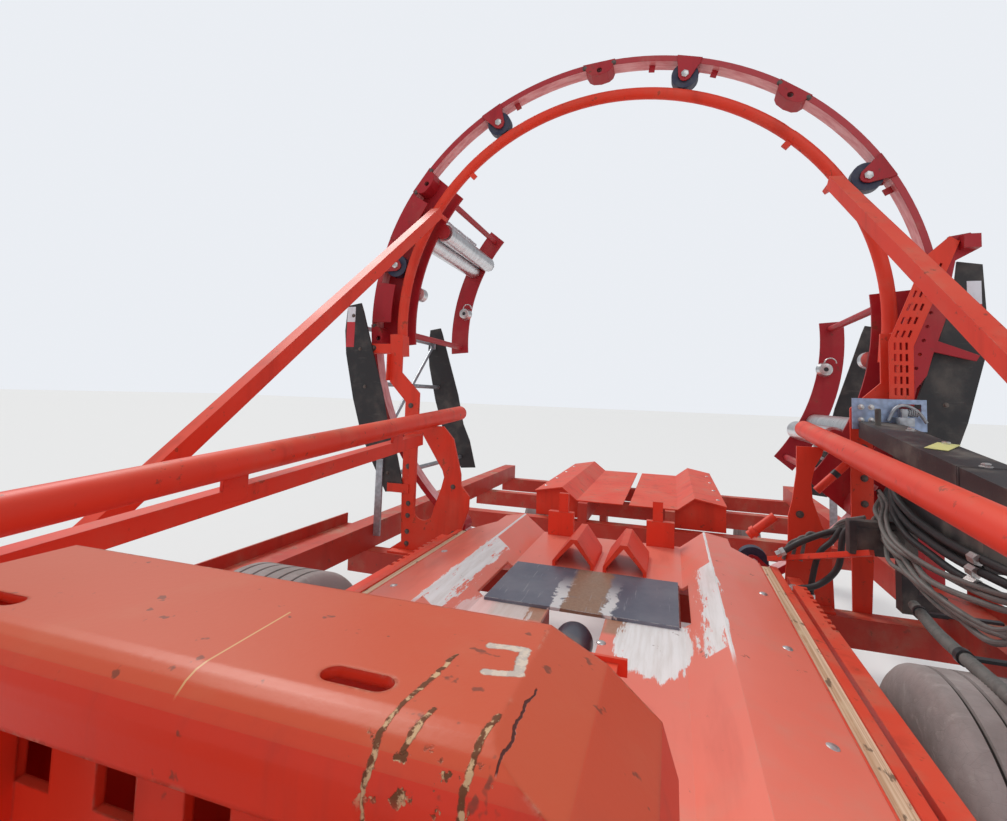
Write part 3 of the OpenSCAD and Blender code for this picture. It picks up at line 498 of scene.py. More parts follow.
def wood():
    """Layered wooden strip, weathered and dusty."""
    m = Finish("weathered_wood", roughness=0.8)
    layers = m.noise(110, 4, stretch=(0.012, 1.6, 1.0))
    m.colour = m.mix(m.band(layers, 0.35, 0.65), (0.78, 0.6, 0.42), (0.5, 0.3, 0.17))
    m.over(m.patches(9, 5, 0.5, 0.75), (0.66, 0.5, 0.32))
    pits = m.patches(45, 6, 0.62, 0.68, stretch=(0.3, 1, 1))
    m.over(m.times(pits, 0.8), (0.12, 0.07, 0.04))
    m.bump(layers, 0.0015, strength=0.8)
    return m.finish()


def plain(name, base, rough=0.5, metal=0.0, speck=0.25, scale=30):
    """A small part's finish: one colour, dirt in patches, fine grain."""
    m = Finish(name, metallic=metal)
    dirt = m.times(m.patches(scale, 6, 0.45, 0.7), speck)
    m.colour = m.mix(dirt, base, tuple(c * 0.4 + 0.03 for c in base))
    m.bump(m.noise(scale * 6, 3), 0.0003, strength=0.5)
    return m.finish(m.blend(dirt, rough, min(1.0, rough + 0.35)))


FINISHES = {
    "red": paint("red_machine_paint"),
    # A darker copy of the machine red for the chassis under the table: partly painted shade, with heavier
    # dust.
    "under": paint("red_chassis_paint_shaded", base=(0.5, 0.036, 0.02), fading=0.4, dust=0.75, gloss=0.45),
    "crimson": paint("crimson_paint", base=SHADED_CRIMSON, faded=(0.46, 0.09, 0.09), fading=0.5),
    "table": worn_table(),
    "pusher": pusher_paint(),
    "ring": ring_paint(),
    "zinc": zinc("galvanised_steel"),
    "blue_zinc": zinc("bright_plate", base=(0.42, 0.53, 0.74), grime=0.2),
    "cross": cross_plate_steel(),
    "rubber": rubber("black_rubber"),
    "beam": rubber("dusty_black_beam", base=(0.035, 0.033, 0.036), dust=0.75),
    "tyre": tyre_rubber(),
    "aluminium": aluminium(),
    "roller": roller_plastic(),
    "barrel": barrel_paint(),
    "wood": wood(),
    "rim": plain("rim_paint", (0.3, 0.31, 0.33), 0.5, 0.1, 0.6, 14),
    "chrome": plain("chrome_rod", (0.8, 0.8, 0.82), 0.14, 1.0, 0.08),
    "bolt": plain("bright_bolts", (0.72, 0.71, 0.7), 0.33, 0.85, 0.5, 60),
    "dark_bolt": plain("old_bolts", (0.16, 0.13, 0.115), 0.5, 0.6, 0.5, 60),
    "hose": plain("grey_hose", (0.17, 0.165, 0.155), 0.6, 0.0, 0.6, 25),
    "black_hose": plain("black_hose", (0.035, 0.034, 0.036), 0.5, 0.0, 0.5, 25),
    "grey": plain("grey_paint", (0.22, 0.225, 0.24), 0.5, 0.0, 0.5, 12),
    "weld": plain("weld_beads", (0.3, 0.075, 0.05), 0.55, 0.1, 0.7, 60),
    "black": plain("black_paint", (0.03, 0.03, 0.034), 0.42, 0.0, 0.5, 12),
    "white_tape": plain("white_tape", (0.74, 0.75, 0.8), 0.35, 0.0, 0.35, 20),
    "red_tape": plain("red_tape", (0.58, 0.035, 0.045), 0.35, 0.0, 0.35, 20),
    "yellow": plain("yellow_plate", (0.72, 0.7, 0.28), 0.5, 0.0, 0.4, 20),
    "foil": plain("pale_cover", (0.6, 0.6, 0.63), 0.4, 0.3, 0.5, 25),
}

FINISHED_NODES = {
    "under": "cross_beams frame_rails main_axle side_beams drawbar rear_axle",
    "red": "table_blocks bed_gutters side_rails rail_posts hoop hoop_legs hoop_braces drive_guard rear_deck "
           "pusher_carriage engine_cover",
    "crimson": "drive_mount ring_lugs stretcher_frames",
    "table": "table_plates",
    "cross": "cross_plate",
    "pusher": "pusher_head",
    "ring": "ring_plate",
    "barrel": "push_barrel",
    "rubber": "guard_panels drive_wheel",
    "beam": "valve_box",
    "zinc": "guard_frames platform jack",
    "blue_zinc": "mount_plate",
    "black": "engine tanks",
    "grey": "controls knuckle_left knuckle_right",
    "chrome": "push_rod",
    "roller": "ring_rollers",
    "aluminium": "stretcher_rollers",
    "tyre": "main_tyre_left main_tyre_right rear_wheel_left rear_wheel_right",
    "rim": "main_wheel_left main_wheel_right",
}
for finish_name, node_names in FINISHED_NODES.items():
    for node_name in node_names.split():
        for place in nodes[node_name].material_slots:
            place.material = FINISHES[finish_name]


# Building of small pieces


def standing(place, axis, spin=0.0):
    """A matrix at place whose Z lies along axis."""
    turn = Vector(axis).normalized().to_track_quat("Z", "Y").to_matrix().to_4x4()
    return Matrix.Translation(place) @ turn @ Matrix.Rotation(spin, 4, "Z")


def drum(radius, length, start=0.0):
    """The section of a plain round piece, closed at both ends."""
    return [(0, start), (radius, start), (radius, start + length), (0, start + length)]


def curve_through(points, steps):
    """Points on a smooth curve through the given ones, in steps between each two."""
    given = [Vector(p) for p in points]
    given = [given[0] * 2 - given[1], *given, given[-1] * 2 - given[-2]]
    found = []
    for a, b, c, d in zip(given, given[1:], given[2:], given[3:]):
        for i in range(steps):
            t = i / steps
            square = (2 * a - 5 * b + 4 * c - d) * t * t
            found.append((2 * b + (c - a) * t + square + (3 * b - a - 3 * c + d) * t ** 3) * 0.5)
    return found + [given[-2]]


class Build:
    """A joined mesh of many small parts."""

    def __init__(self):
        self.bm = bmesh.new()

    def skin(self, rows, capped=False):
        """Faces between rings of points, where a ring may be one point."""
        for low, high in zip(rows, rows[1:]):
            count = max(len(low), len(high))
            for i in range(count):
                j = (i + 1) % count
                corners = [low[i % len(low)], low[j % len(low)], high[j % len(high)], high[i % len(high)]]
                unique = list(dict.fromkeys(corners))
                if len(unique) > 2:
                    self.bm.faces.new(unique)
        if capped:
            self.bm.faces.new(list(reversed(rows[0])))
            self.bm.faces.new(rows[-1])

    def lathe(self, profile, place, axis, steps=20, spin=0.0):
        """A turned part: profile is (radius, height) pairs along axis."""
        matrix = standing(place, axis, spin)
        angles = [2 * pi * i / steps for i in range(steps)]
        rows = []
        for radius, height in profile:
            if radius < 1e-6:
                rows.append([self.bm.verts.new(matrix @ Vector((0, 0, height)))])
                continue
            points = [Vector((radius * cos(a), radius * sin(a), height)) for a in angles]
            rows.append([self.bm.verts.new(matrix @ p) for p in points])
        self.skin(rows)

    def bolt(self, place, axis, size=0.012, spin=0.3):
        """Hex head on a washer; size is the thread's diameter."""
        washer = size * 0.18
        self.lathe(drum(size * 1.25, washer), place, axis, 18)
        head = size * 0.92
        top = size * 0.82
        shape = [(0, washer), (head, washer), (head, top * 0.9), (head * 0.85, top), (0, top)]
        self.lathe(shape, place, axis, 6, spin)

    def dome(self, place, axis, radius):
        """Round carriage bolt head."""
        arc = [radians(a) for a in (0, 20, 40, 60, 78)]
        profile = [(radius, 0)] + [(radius * cos(a), radius * 0.42 * sin(a)) for a in arc]
        self.lathe(profile + [(0, radius * 0.43)], place, axis, 22)

    def box(self, low, high, turn=None, bevel=0.0):
        """A box from corner to corner, with its edges cut where bevel is given."""
        made = bmesh.ops.create_cube(self.bm, size=1.0)
        bmesh.ops.scale(self.bm, verts=made["verts"], vec=Vector(high) - Vector(low))
        if bevel:
            edges = list({e for v in made["verts"] for e in v.link_edges})
            made = bmesh.ops.bevel(
                self.bm, geom=edges, offset=bevel, segments=2, profile=0.6, affect="EDGES"
            )
        matrix = Matrix.Translation((Vector(high) + Vector(low)) / 2)
        if turn is not None:
            matrix = turn @ matrix
        bmesh.ops.transform(self.bm, verts=made["verts"], matrix=matrix)

    def tube(self, points, radius, sides=10, radii=None):
        """A tube along points, which are close enough together to look smooth."""
        points = [Vector(p) for p in points]
        angles = [2 * pi * k / sides for k in range(sides)]
        normal = None
        rows = []
        for i, p in enumerate(points):
            ahead = points[min(i + 1, len(points) - 1)] - points[max(i - 1, 0)]
            ahead.normalize()
            if normal is None:
                normal = ahead.orthogonal().normalized()
            normal = (normal - ahead * normal.dot(ahead)).normalized()
            side = ahead.cross(normal)
            r = radii[i] if radii else radius
            spokes = [normal * cos(a) + side * sin(a) for a in angles]
            rows.append([self.bm.verts.new(p + spoke * r) for spoke in spokes])
        self.skin(rows, capped=True)

    def bent_tube(self, points, radius, steps, sides):
        """A tube on a smooth curve through a few points."""
        self.tube(curve_through(points, steps), radius, sides)

    def coil(self, start, reach, side, other, radius, wire, steps, per_turn, sides):
        """A spring along reach, which begins at side and winds towards other."""
        points = []
        for i in range(steps + 1):
            a = 2 * pi * i / per_turn
            spoke = side * cos(a) + other * sin(a)
            points.append(start + reach * i / steps + spoke * radius)
        self.tube(points, wire, sides)

    def plate(self, outline, thickness, matrix):
        """A flat plate with its outline in local X and Y."""
        rows = []
        for height in (-thickness / 2, thickness / 2):
            rows.append([self.bm.verts.new(matrix @ Vector((u, v, height))) for u, v in outline])
        self.skin(rows, capped=True)

    def done(self, name, finish, body="chassis", smooth=35):
        """Makes the object, gives it its finish and lets it ride on its body."""
        mesh = bpy.data.meshes.new(name)
        bmesh.ops.remove_doubles(self.bm, verts=self.bm.verts, dist=1e-6)
        bmesh.ops.recalc_face_normals(self.bm, faces=self.bm.faces)
        self.bm.to_mesh(mesh)
        self.bm.free()
        mesh.materials.append(FINISHES[finish])
        made = bpy.data.objects.new(name, mesh)
        bpy.context.scene.collection.objects.link(made)
        mesh.shade_smooth()
        if smooth:
            mesh.set_sharp_from_angle(angle=radians(smooth))
        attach(made, body)
        return made


# Wheels


RIM_R = 0.1905


def tyre_profile(inner, outer, half, grooves):
    """A tyre's section as (radius, height) pairs: bulged walls, round shoulders, grooved tread."""
    side = [
        (inner, 0.7), (inner + 0.012, 0.8), (inner + 0.045, 0.93), ((inner + outer) / 2, 1.0),
        (outer - 0.062, 0.985), (outer - 0.034, 0.945), (outer - 0.014, 0.885), (outer - 0.003, 0.815),
        (outer, 0.77),
    ]
    rows = [(r, -h * half) for r, h in side]
    for i in range(grooves):
        middle = (-0.62 + 1.24 * i / (grooves - 1)) * half
        rows += [(outer, middle - 0.005), (outer - 0.009, middle - 0.0032)]
        rows += [(outer - 0.009, middle + 0.0032), (outer, middle + 0.005)]
    return rows + [(r, h * half) for r, h in reversed(side)] + [(inner, -0.7 * half)]


def wheel_nuts(b, middle, out, count, first, radius, size):
    """Nuts in a circle round an axle along Y; first is the first one's angle."""
    for i in range(count):
        a = radians(360 / count * i + first)
        b.bolt(middle + Vector((radius * cos(a), 0, radius * sin(a))), out, size, a)


def wheels():
    """Ribbed tyres in place of the CAD's plain ones, with wheel nuts and hub caps."""
    main_cap = [(0, 0), (0.038, 0), (0.038, 0.014), (0.034, 0.024), (0.02, 0.03), (0, 0.031)]
    rear_cap = [(0, 0), (0.03, 0), (0.03, 0.01), (0.022, 0.016), (0, 0.017)]
    for side, out in (("left", LEFT), ("right", -LEFT)):
        low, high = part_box(f"main_tyre_{side}")
        middle = (low + high) / 2
        b = Build()
        outer, half = (high.z - low.z) / 2, (high.y - low.y) / 2
        profile = tyre_profile(RIM_R, outer, half, grooves=5)
        b.lathe(profile, middle, LEFT, 128)
        made = b.done(f"ribbed_tyre_{side}", "tyre", f"wheel_{side}", smooth=40)
        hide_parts(f"main_tyre_{side}")
        b = Build()
        wheel_nuts(b, middle + out * 0.018, out, count=6, first=15, radius=0.088, size=0.016)
        b.lathe(main_cap, middle + out * 0.0785, out, 28)
        b.lathe(drum(0.005, 0.03), middle + Vector((0.14, 0, 0.085)) + out * 0.02, out, 10)
        b.done(f"wheel_fittings_{side}", "dark_bolt", f"wheel_{side}")
        low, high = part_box(f"rear_wheel_{side}")
        middle = (low + high) / 2
        b = Build()
        wheel_nuts(b, middle + out * 0.01, out, count=5, first=0, radius=0.075, size=0.014)
        b.lathe(rear_cap, middle + out * 0.0603, out, 24)
        b.done(f"rear_hub_{side}", "dark_bolt", f"rear_wheel_{side}")


# Table


def carriage_bolts():
    """Carriage bolts in the bed, beside the barrel and along its edges."""
    b = Build()
    edge_places = ((-0.434, 0.559), (-0.009, 0.554), (0.415, 0.551), (0.84, 0.552))
    places = [(x, y, FLOOR_Z + 0.05) for x, y in edge_places]
    places += [(x, 0.096, FLOOR_Z) for x in (0.025, 0.6, 1.1)]
    for x, y, z in places:
        for side in (1, -1):
            b.dome((x, y * side, z), TOP, 0.0135)
    b.done("carriage_bolts", "bolt")


def wood_strips():
    """The layered wood in the gutters beside the bed."""
    low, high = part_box("bed_gutters")
    b = Build()
    for side in (1, -1):
        near, far = sorted((0.606 * side, 0.6415 * side))
        start = (low.x + 0.005, near, FLOOR_Z + 0.0093)
        b.box(start, (high.x - 0.02, far, FLOOR_Z + 0.033), bevel=0.0015)
    b.done("wood_strips", "wood")


def cross_plate_welds():
    """Uneven weld beads along the left and right sides of the cross plate."""
    low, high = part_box("cross_plate")
    b = Build()
    steps = 70
    for y in (low.y, high.y):
        points = []
        for i in range(steps + 1):
            x = low.x + 0.02 + (high.x - low.x - 0.04) * i / steps
            points.append((x, y + random.uniform(-0.0007, 0.0007), FLOOR_Z + 0.0015))
        radii = [0.0042 + 0.0008 * sin(i * 1.9) for i in range(steps + 1)]
        b.tube(points, 0.004, 8, radii)
    b.done("cross_plate_welds", "weld")


# Ring


def ring_fittings():
    """Bolts through the ring's rollers, and in pairs where its lugs sit."""
    b = Build()
    rollers_low, rollers_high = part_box("ring_rollers")
    path = 1.229
    for i in range(8):
        angle = 30 + 45 * i
        b.lathe(drum(0.024, 0.004), on_ring(path, angle, rollers_high.x + 0.0002), FRONT, 24)
        b.bolt(on_ring(path, angle, rollers_high.x + 0.004), FRONT, 0.02, angle)
        b.bolt(on_ring(path, angle, rollers_low.x - 0.008), -FRONT, 0.018, angle)
    b.done("roller_bolts", "bolt", "ring")
    b = Build()
    for angle in (53, 94, 143, 184, 233, 274, 323, 4):
        for off in (-3.1, 3.1):
            b.bolt(on_ring(RING_R - 0.016, angle + off, RING_X), FRONT, 0.011, angle)
    b.done("ring_joint_bolts", "dark_bolt", "ring")


def tape():
    """Plain white and red reflecting tape on the front guard panels."""
    for name, slot, spans in (
        ("white_tape", "grey_paint", ((-1.398, -1.349, 1.766, 1.848), (1.346, 1.392, 1.81, 1.9))),
        ("red_tape", "red_paint", ((-1.398, -1.349, 1.63, 1.766), (1.346, 1.392, 1.72, 1.81))),
    ):
        b = Build()
        for y0, y1, z0, z1 in spans:
            b.box((PANEL_FRONT - 0.0002, y0, z0), (PANEL_FRONT + 0.0006, y1, z1), bevel=0.0002)
        b.done(name, name)


# Hoses beside the table


def hoses():
    """Thick hydraulic hoses, each fixed at both ends."""
    routes = (
        (0.0115, (-0.83, 0.69, 0.84), (-0.83, 0.747, 0.88), (-0.82, 0.83, 0.925),
         (-0.8, 0.888, 0.943), (-0.72, 0.96, 0.97)),
        (0.0105, (-0.8, 0.875, 0.952), (-0.8, 0.842, 0.9), (-0.8, 0.8, 0.85),
         (-0.8, 0.776, 0.75), (-0.8, 0.77, 0.68)),
        (0.011, (-0.75, 0.9, 0.98), (-0.75, 0.866, 0.933), (-0.75, 0.849, 0.821),
         (-0.75, 0.785, 0.749), (-0.75, 0.7, 0.722)),
        (0.0115, (-0.7, 1.005, 1.17), (-0.62, 0.985, 1.115), (-0.5, 0.982, 1.075),
         (-0.38, 0.985, 1.055), (-0.2, 0.99, 1.04), (0.02, 1.02, 1.03)),
        (0.0115, (-0.7, 1.005, 1.14), (-0.6, 0.975, 1.085), (-0.48, 0.972, 1.045),
         (-0.34, 0.975, 1.025), (-0.18, 0.985, 1.01), (0.02, 1.02, 1.0)),
        (0.0105, (-0.64, 0.985, 1.1), (-0.55, 0.96, 1.06), (-0.44, 0.957, 1.015),
         (-0.3, 0.965, 0.995), (-0.16, 0.975, 0.98), (0.0, 1.01, 0.97)),
    )
    b = Build()
    for radius, *points in routes:
        b.bent_tube(points, radius, 10, 14)
    b.done("hoses", "black_hose")


def thin_hoses():
    """A bundle of thin hoses under the beam, and three that cross behind the gusset."""
    b = Build()
    for i in range(7):
        sway = [random.uniform(-0.022, 0.022) for k in range(10)]
        drop = 0.016 * i
        points = [
            (-0.78, 0.99, 1.1 - drop),
            (-0.66 + sway[0], 0.95 + sway[1], 1.075 - drop),
            (-0.52 + sway[2], 0.93 + sway[3], 1.045 - drop * 1.3),
            (-0.36 + sway[4], 0.925 + sway[5], 1.005 - drop),
            (-0.18 + sway[6], 0.935 + sway[7], 0.985 - drop * 1.1),
            (0.0, 0.965, 0.975 - drop + sway[8]),
            (0.04, 1.012, 0.99 - drop),
        ]
        b.bent_tube(points, 0.0062 + 0.0008 * (i % 3), 9, 10)
    for i in range(3):
        y = 0.69 + 0.03 * i
        points = [
            (-0.86, y, 0.8), (-0.88, y + 0.03, 0.862 + 0.02 * i), (-0.87, 0.8 + 0.02 * i, 0.9),
            (-0.84, 0.88, 0.945 + 0.01 * i), (-0.8, 0.95, 1.0),
        ]
        b.bent_tube(points, 0.0065, 9, 10)
    b.done("thin_hoses", "hose")


def hose_ends():
    """Bright sleeves on the upper hoses, and the unions where the others end."""
    b = Build()
    for ends in (
        ((-0.13, 0.99, 1.035), (-0.1, 0.992, 1.033)),
        ((-0.13, 0.985, 1.005), (-0.1, 0.988, 1.003)),
        ((-0.12, 0.978, 0.978), (-0.09, 0.984, 0.976)),
    ):
        b.tube(ends, 0.0145, 6)
    union = [(0, 0), (0.0155, 0), (0.0155, 0.016), (0.012, 0.018), (0.012, 0.034), (0, 0.034)]
    for place, axis in (
        ((-0.83, 0.69, 0.84), (0, -1, -0.6)), ((-0.8, 0.771, 0.7), (0, 0, -1)),
        ((-0.75, 0.712, 0.725), (0, -1, 0)),
    ):
        b.lathe(union, place, axis, 6)
    b.done("hose_ends", "bolt")


def conduit():
    """The ribbed conduit along the beam, with the clips that hold it."""
    route = [(-0.7, 1.06, 0.735), (-0.52, 1.02, 0.76), (-0.3, 0.985, 0.775)]
    route += [(-0.05, 0.965, 0.79), (0.22, 0.955, 0.8), (0.5, 0.955, 0.8)]
    line = curve_through(route, 36)
    b = Build()
    b.tube(line, 0.017, 14, [0.017 if i % 2 else 0.0145 for i in range(len(line))])
    b.done("ribbed_conduit", "hose", smooth=0)
    b = Build()
    for i in (30, 96, 150):
        p = line[i]
        ahead = (line[i + 1] - line[i - 1]).normalized()
        b.lathe([(0.0165, -0.012), (0.0205, -0.012), (0.0205, 0.012), (0.0165, 0.012)], p, ahead, 20)
        b.box(p + Vector((-0.01, 0.012, -0.004)), p + Vector((0.01, 0.21, 0.004)))
    b.done("conduit_clips", "black")


# Black beam and gussets


def beam_clamp():
    """Spring clamp at the rear of the beam."""
    b = Build()
    seat = beam_top(-0.9)
    b.box((-0.918, 1.075, seat - 0.012), (-0.842, 1.125, seat + 0.02), bevel=0.003)
    b.box((-0.912, 1.092, seat + 0.018), (-0.868, 1.112, seat + 0.052), bevel=0.003)
    bow = ((1.055, 1.352), (1.075, 1.398), (1.107, 1.413), (1.148, 1.392), (1.176, 1.35))
    b.bent_tube([(-0.885, y, z) for y, z in bow], 0.0062, 12, 12)
    start = Vector((-0.885, 1.092, 1.386))
    b.coil(start, LEFT * 0.0548, FRONT, TOP, radius=0.013, wire=0.0026, steps=111, per_turn=14, sides=8)
    b.done("beam_clamp", "zinc")


def beam_bolts():
    """Bolts of the plate behind the beam and on the beam's top."""
    b = Build()
    plate_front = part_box("mount_plate")[1].x
    for y in (0.971, 1.005):
        for z in (1.352, 1.402):
            b.bolt((plate_front, y, z), FRONT, 0.009, y * 9)
    for x in (-0.7, -0.44, -0.13, 0.1):
        b.bolt((x, 1.025 if x > -0.2 else 1.062, beam_top(x)), (BEAM_FALL, 0, 1), 0.012, x)
    b.done("beam_bolts", "bolt")


def beam_joint():
    """The joint across the beam, a plug on its top and the dark box at its side, which partly stands in for
    the deep shade there.
    """
    b = Build()
    for x in (-0.126, -0.116):
        b.box((x, 0.9585, 1.15), (x + 0.008, 1.0915, beam_top(x + 0.006) + 0.0012), bevel=0.001)
    plug = [(0, 0), (0.01, 0), (0.01, 0.062), (0.007, 0.066), (0, 0.066)]
    b.lathe(plug, (-0.8, 0.995, beam_top(-0.8) - 0.004), TOP, 16)
    # A dark box where deep shade lies beside the beam: partly a dark block standing in for that shade.
    b.box((-0.648, 0.846, 0.905), (-0.598, 1.006, 1.018), bevel=0.006)
    b.box((-0.6, 0.868, 0.925), (-0.592, 0.984, 0.998), bevel=0.003)
    b.done("beam_joint", "beam")


def blank_plate():
    """A small blank plate on the beam's slope."""
    b = Build()
    turn = Matrix.Translation((-0.395, 1.036, beam_top(-0.395) + 0.0022))
    turn = turn @ Matrix.Rotation(atan(BEAM_FALL), 4, "Y") @ Matrix.Rotation(radians(-34), 4, "Z")
    b.box((-0.066, -0.028, -0.001), (0.066, 0.028, 0.001), turn, 0.0006)
    b.done("blank_plate", "yellow")


def struts():
    """Strap and short tubes beside the gussets."""
    b = Build()
    b.tube([(-0.956, 0.655, 0.772), (-0.56, 0.9, 0.925)], 0.0135, 4)
    b.tube([(-1.01, 0.957, 1.18), (-1.01, 0.838, 1.053)], 0.016, 16)
    b.tube([(-0.9, 0.572, 0.868), (-0.9, 0.668, 0.955)], 0.0175, 16)
    b.lathe(drum(0.0235, 0.018), (-0.9, 0.585, 0.88), (0, 0.74, 0.67), 20)
    b.done("struts", "red")
    b = Build()
    band = [(0.0158, 0), (0.0175, 0), (0.0175, 0.022), (0.0158, 0.022)]
    b.lathe(band, (-1.01, 0.915, 1.135), (0, -0.68, -0.73), 16)
    b.done("strut_band", "black")


def gusset_bolts():
    """Bolts on the gussets, the hoop's clamps and the guard panels."""
    b = Build()
    gusset = [(-0.985, z) for z in (0.838, 0.778, 0.699, 0.64)] + [(-0.745, 0.94), (-0.735, 0.715)]
    for y, z in gusset:
        b.bolt((LEG_FRONT, y, z), FRONT, 0.01, y + z)
    b.bolt((LEG_FRONT, 0.77, 0.959), FRONT, 0.012, 0.4)
    for side in (1, -1):
        for z in (1.02, 1.12, 1.24, 1.33):
            b.bolt((LEG_FRONT - 0.012, side * 1.0, z), FRONT, 0.011, z)
        for y, z in ((1.36, 1.8), (1.31, 1.62), (1.27, 1.42), (1.2, 1.2), (1.11, 0.98)):
            b.bolt((PANEL_FRONT, side * y, z), FRONT, 0.008, z * 3)
        for y in (1.24, 1.305):
            b.bolt((LEG_FRONT - 0.024, side * y, 1.628), FRONT, 0.012, y)
    b.done("gusset_bolts", "dark_bolt")


def guard_braces():
    """Zinc braces between the front and rear guard panels."""
    b = Build()
    for side in (1, -1):
        ends = ((PANEL_REAR + 0.008, side * 1.372, 1.735), (PANEL_FRONT - 0.012, side * 1.2, 1.06))
        b.tube(ends, 0.011, 14)
        for x, y, z in ends:
            b.box((x - 0.004, y - 0.022, z - 0.022), (x + 0.004, y + 0.022, z + 0.022), bevel=0.001)
    b.done("guard_braces", "zinc")


# Film stretchers, each turned on the ring by 0 or 180 degrees


def stretcher_gears(name, turn):
    """Gears behind the rollers' ends, and the end plates' bolts."""
    b = Build()
    teeth = 22
    outline = []
    for i in range(teeth * 2):
        a = pi * i / teeth
        r = 0.044 if i % 2 else 0.038
        outline.append((r * cos(a), r * sin(a)))
    for radius, angle in ((1.083, 151.3), (1.15, 155.5)):
        place = on_ring(radius, angle + turn, STRETCH_REAR - 0.0015)
        b.plate(outline, 0.01, standing(place - FRONT * 0.006, -FRONT))
        b.lathe(drum(0.017, 0.016), place, -FRONT, 18)
    for angle in (146, 162, 178):
        b.bolt(on_ring(1.16, angle + turn, STRETCH_REAR - 0.0002), -FRONT, 0.012, angle)
        b.bolt(on_ring(1.22, angle + turn, STRETCH_FRONT - 0.0123), -FRONT, 0.012, angle)
    b.done(f"stretcher_gears_{name}", "dark_bolt", "ring")


def film_hub(name, turn):
    """The film spindle's hub with its hook, its black centre and the catch beside it."""
    place = on_ring(1.105, 171 + turn, STRETCH_REAR + 0.0532)
    b = Build()
    b.lathe([(0.012, 0), (0.034, 0), (0.034, 0.006), (0.028, 0.009), (0.012, 0.009)], place, FRONT, 28)
    hook = []
    for i in range(12):
        a = i * 0.42
        hook.append(place + Vector((0.004, 0.03 * cos(a) + 0.022, 0.03 * sin(a) + 0.034)))
    b.tube(hook, 0.0034, 8)
    b.done(f"film_hub_{name}", "bolt", "ring")
    b = Build()
    b.lathe(drum(0.013, 0.0075, 0.001), place, FRONT, 20)
    catch = on_ring(1.128, 153.5 + turn, STRETCH_REAR + 0.02)
    b.box(catch - Vector((0.006, 0.016, 0.012)), catch + Vector((0.01, 0.016, 0.012)), bevel=0.002)
    b.done(f"hub_centre_{name}", "black", "ring")


def stretcher_chain(name, turn):
    """A chain along the stretcher, its links crossed by turns."""
    b = Build()
    first = on_ring(1.215, 147.5 + turn, STRETCH_REAR + 0.062)
    link = [(0, -0.008), (0.0075, -0.006), (0.0075, 0.006), (0, 0.008)]
    for i in range(34):
        place = first + FRONT * (0.02 * i) + outward(150 + turn) * (0.006 * sin(i * 0.7))
        b.lathe(link, place, (0.5, 0.2, 1) if i % 2 else (1, 0.3, 0.1), 8)
    b.done(f"stretcher_chain_{name}", "foil", "ring")


def stretcher_spring(name, turn):
    """The spring along the stretcher, with its straight ends."""
    b = Build()
    start = on_ring(1.205, 150 + turn, STRETCH_REAR + 0.032)
    reach = FRONT * 0.34
    side, other = outward(150 + turn), outward(240 + turn)
    b.coil(start, reach, side, other, radius=0.013, wire=0.0022, steps=26 * 12, per_turn=12, sides=6)
    b.tube([start - reach * 0.06, start], 0.003, 8)
    b.tube([start + reach, start + reach * 1.5], 0.003, 8)
    b.done(f"stretcher_spring_{name}", "bolt", "ring")


# Front end


def cover_trim():
    """Louvres, lid, latches and handle of the engine's cover."""
    low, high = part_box("engine_cover")
    b = Build()
    for side_y, out in ((low.y, -1), (high.y, 1)):
        for i in range(7):
            z = low.z + 0.3 + i * 0.036
            turn = Matrix.Translation((0, side_y, z)) @ Matrix.Rotation(radians(-28 * out), 4, "X")
            b.box((low.x + 0.12, -0.002, -0.01), (high.x - 0.12, 0.006, 0.01), turn, 0.001)
    b.box((low.x + 0.05, low.y + 0.05, high.z), high - Vector((0.05, 0.05, -0.006)), bevel=0.003)
    b.done("cover_louvres", "red", "engine_cover")
    b = Build()
    for x in (low.x + 0.12, high.x - 0.12):
        foot = Vector((x, high.y, low.z))
        b.box(foot + Vector((-0.018, 0, 0.035)), foot + Vector((0.018, 0.009, 0.105)), bevel=0.003)
        b.box(foot + Vector((-0.01, 0.009, 0.055)), foot + Vector((0.01, 0.017, 0.1)), bevel=0.003)
    grip_low, grip_high = low.y + 0.18, high.y - 0.18
    grip = ((-0.002, grip_low), (-0.034, grip_low + 0.01), (-0.034, grip_high - 0.01), (-0.002, grip_high))
    b.bent_tube([(low.x + x, y, high.z - 0.12) for x, y in grip], 0.007, 6, 10)
    b.done("cover_latches", "bolt", "engine_cover")


def tank_fittings():
    """The tank's cap and its level gauge."""
    low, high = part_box("tanks")
    b = Build()
    cap = [(0, 0), (0.036, 0), (0.036, 0.012), (0.03, 0.02), (0, 0.021)]
    b.lathe(cap, (low.x + 0.12, low.y + 0.34, high.z - 0.001), TOP, 24)
    gauge_y = low.y + 0.1525
    corner = Vector((low.x - 0.006, gauge_y - 0.0125, low.z + 0.1))
    b.box(corner, corner + Vector((0.007, 0.025, 0.22)), bevel=0.002)
    for z in (low.z + 0.085, low.z + 0.335):
        b.bolt((low.x, gauge_y, z), -FRONT, 0.01, 0.3)
    b.done("tank_fittings", "black")


def lever_knobs():
    """Knobs on the six control levers."""
    b = Build()
    knob = [(0, -0.004), (0.013, 0.0), (0.017, 0.012), (0.016, 0.024), (0.009, 0.032), (0, 0.034)]
    for i in range(6):
        b.lathe(knob, (2.01, -0.5 - i * 0.06, 1.39), (-0.12, 0, 1), 16)
    b.done("lever_knobs", "black")


def jack_handle():
    """The jack's crank over its sleeve, and the pin through the sleeve."""
    low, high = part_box("jack")
    x, y = (low.x + high.x) / 2, (low.y + high.y) / 2
    b = Build()
    b.lathe([(0, 0), (0.03, 0), (0.03, 0.022), (0.012, 0.03), (0, 0.03)], (x, y, 0.941), TOP, 20)
    b.bent_tube([(x, y, 0.965), (x, y - 0.04, 0.968), (x, y - 0.11, 0.968)], 0.007, 6, 10)
    b.tube([(x, y - 0.11, 0.968), (x, y - 0.11, 1.045)], 0.007, 10)
    b.lathe(drum(0.013, 0.085), (x, y - 0.11, 0.985), TOP, 14)
    b.tube([(x - 0.048, y, 0.52), (x + 0.048, y, 0.52)], 0.008, 12)
    b.done("jack_handle", "zinc")


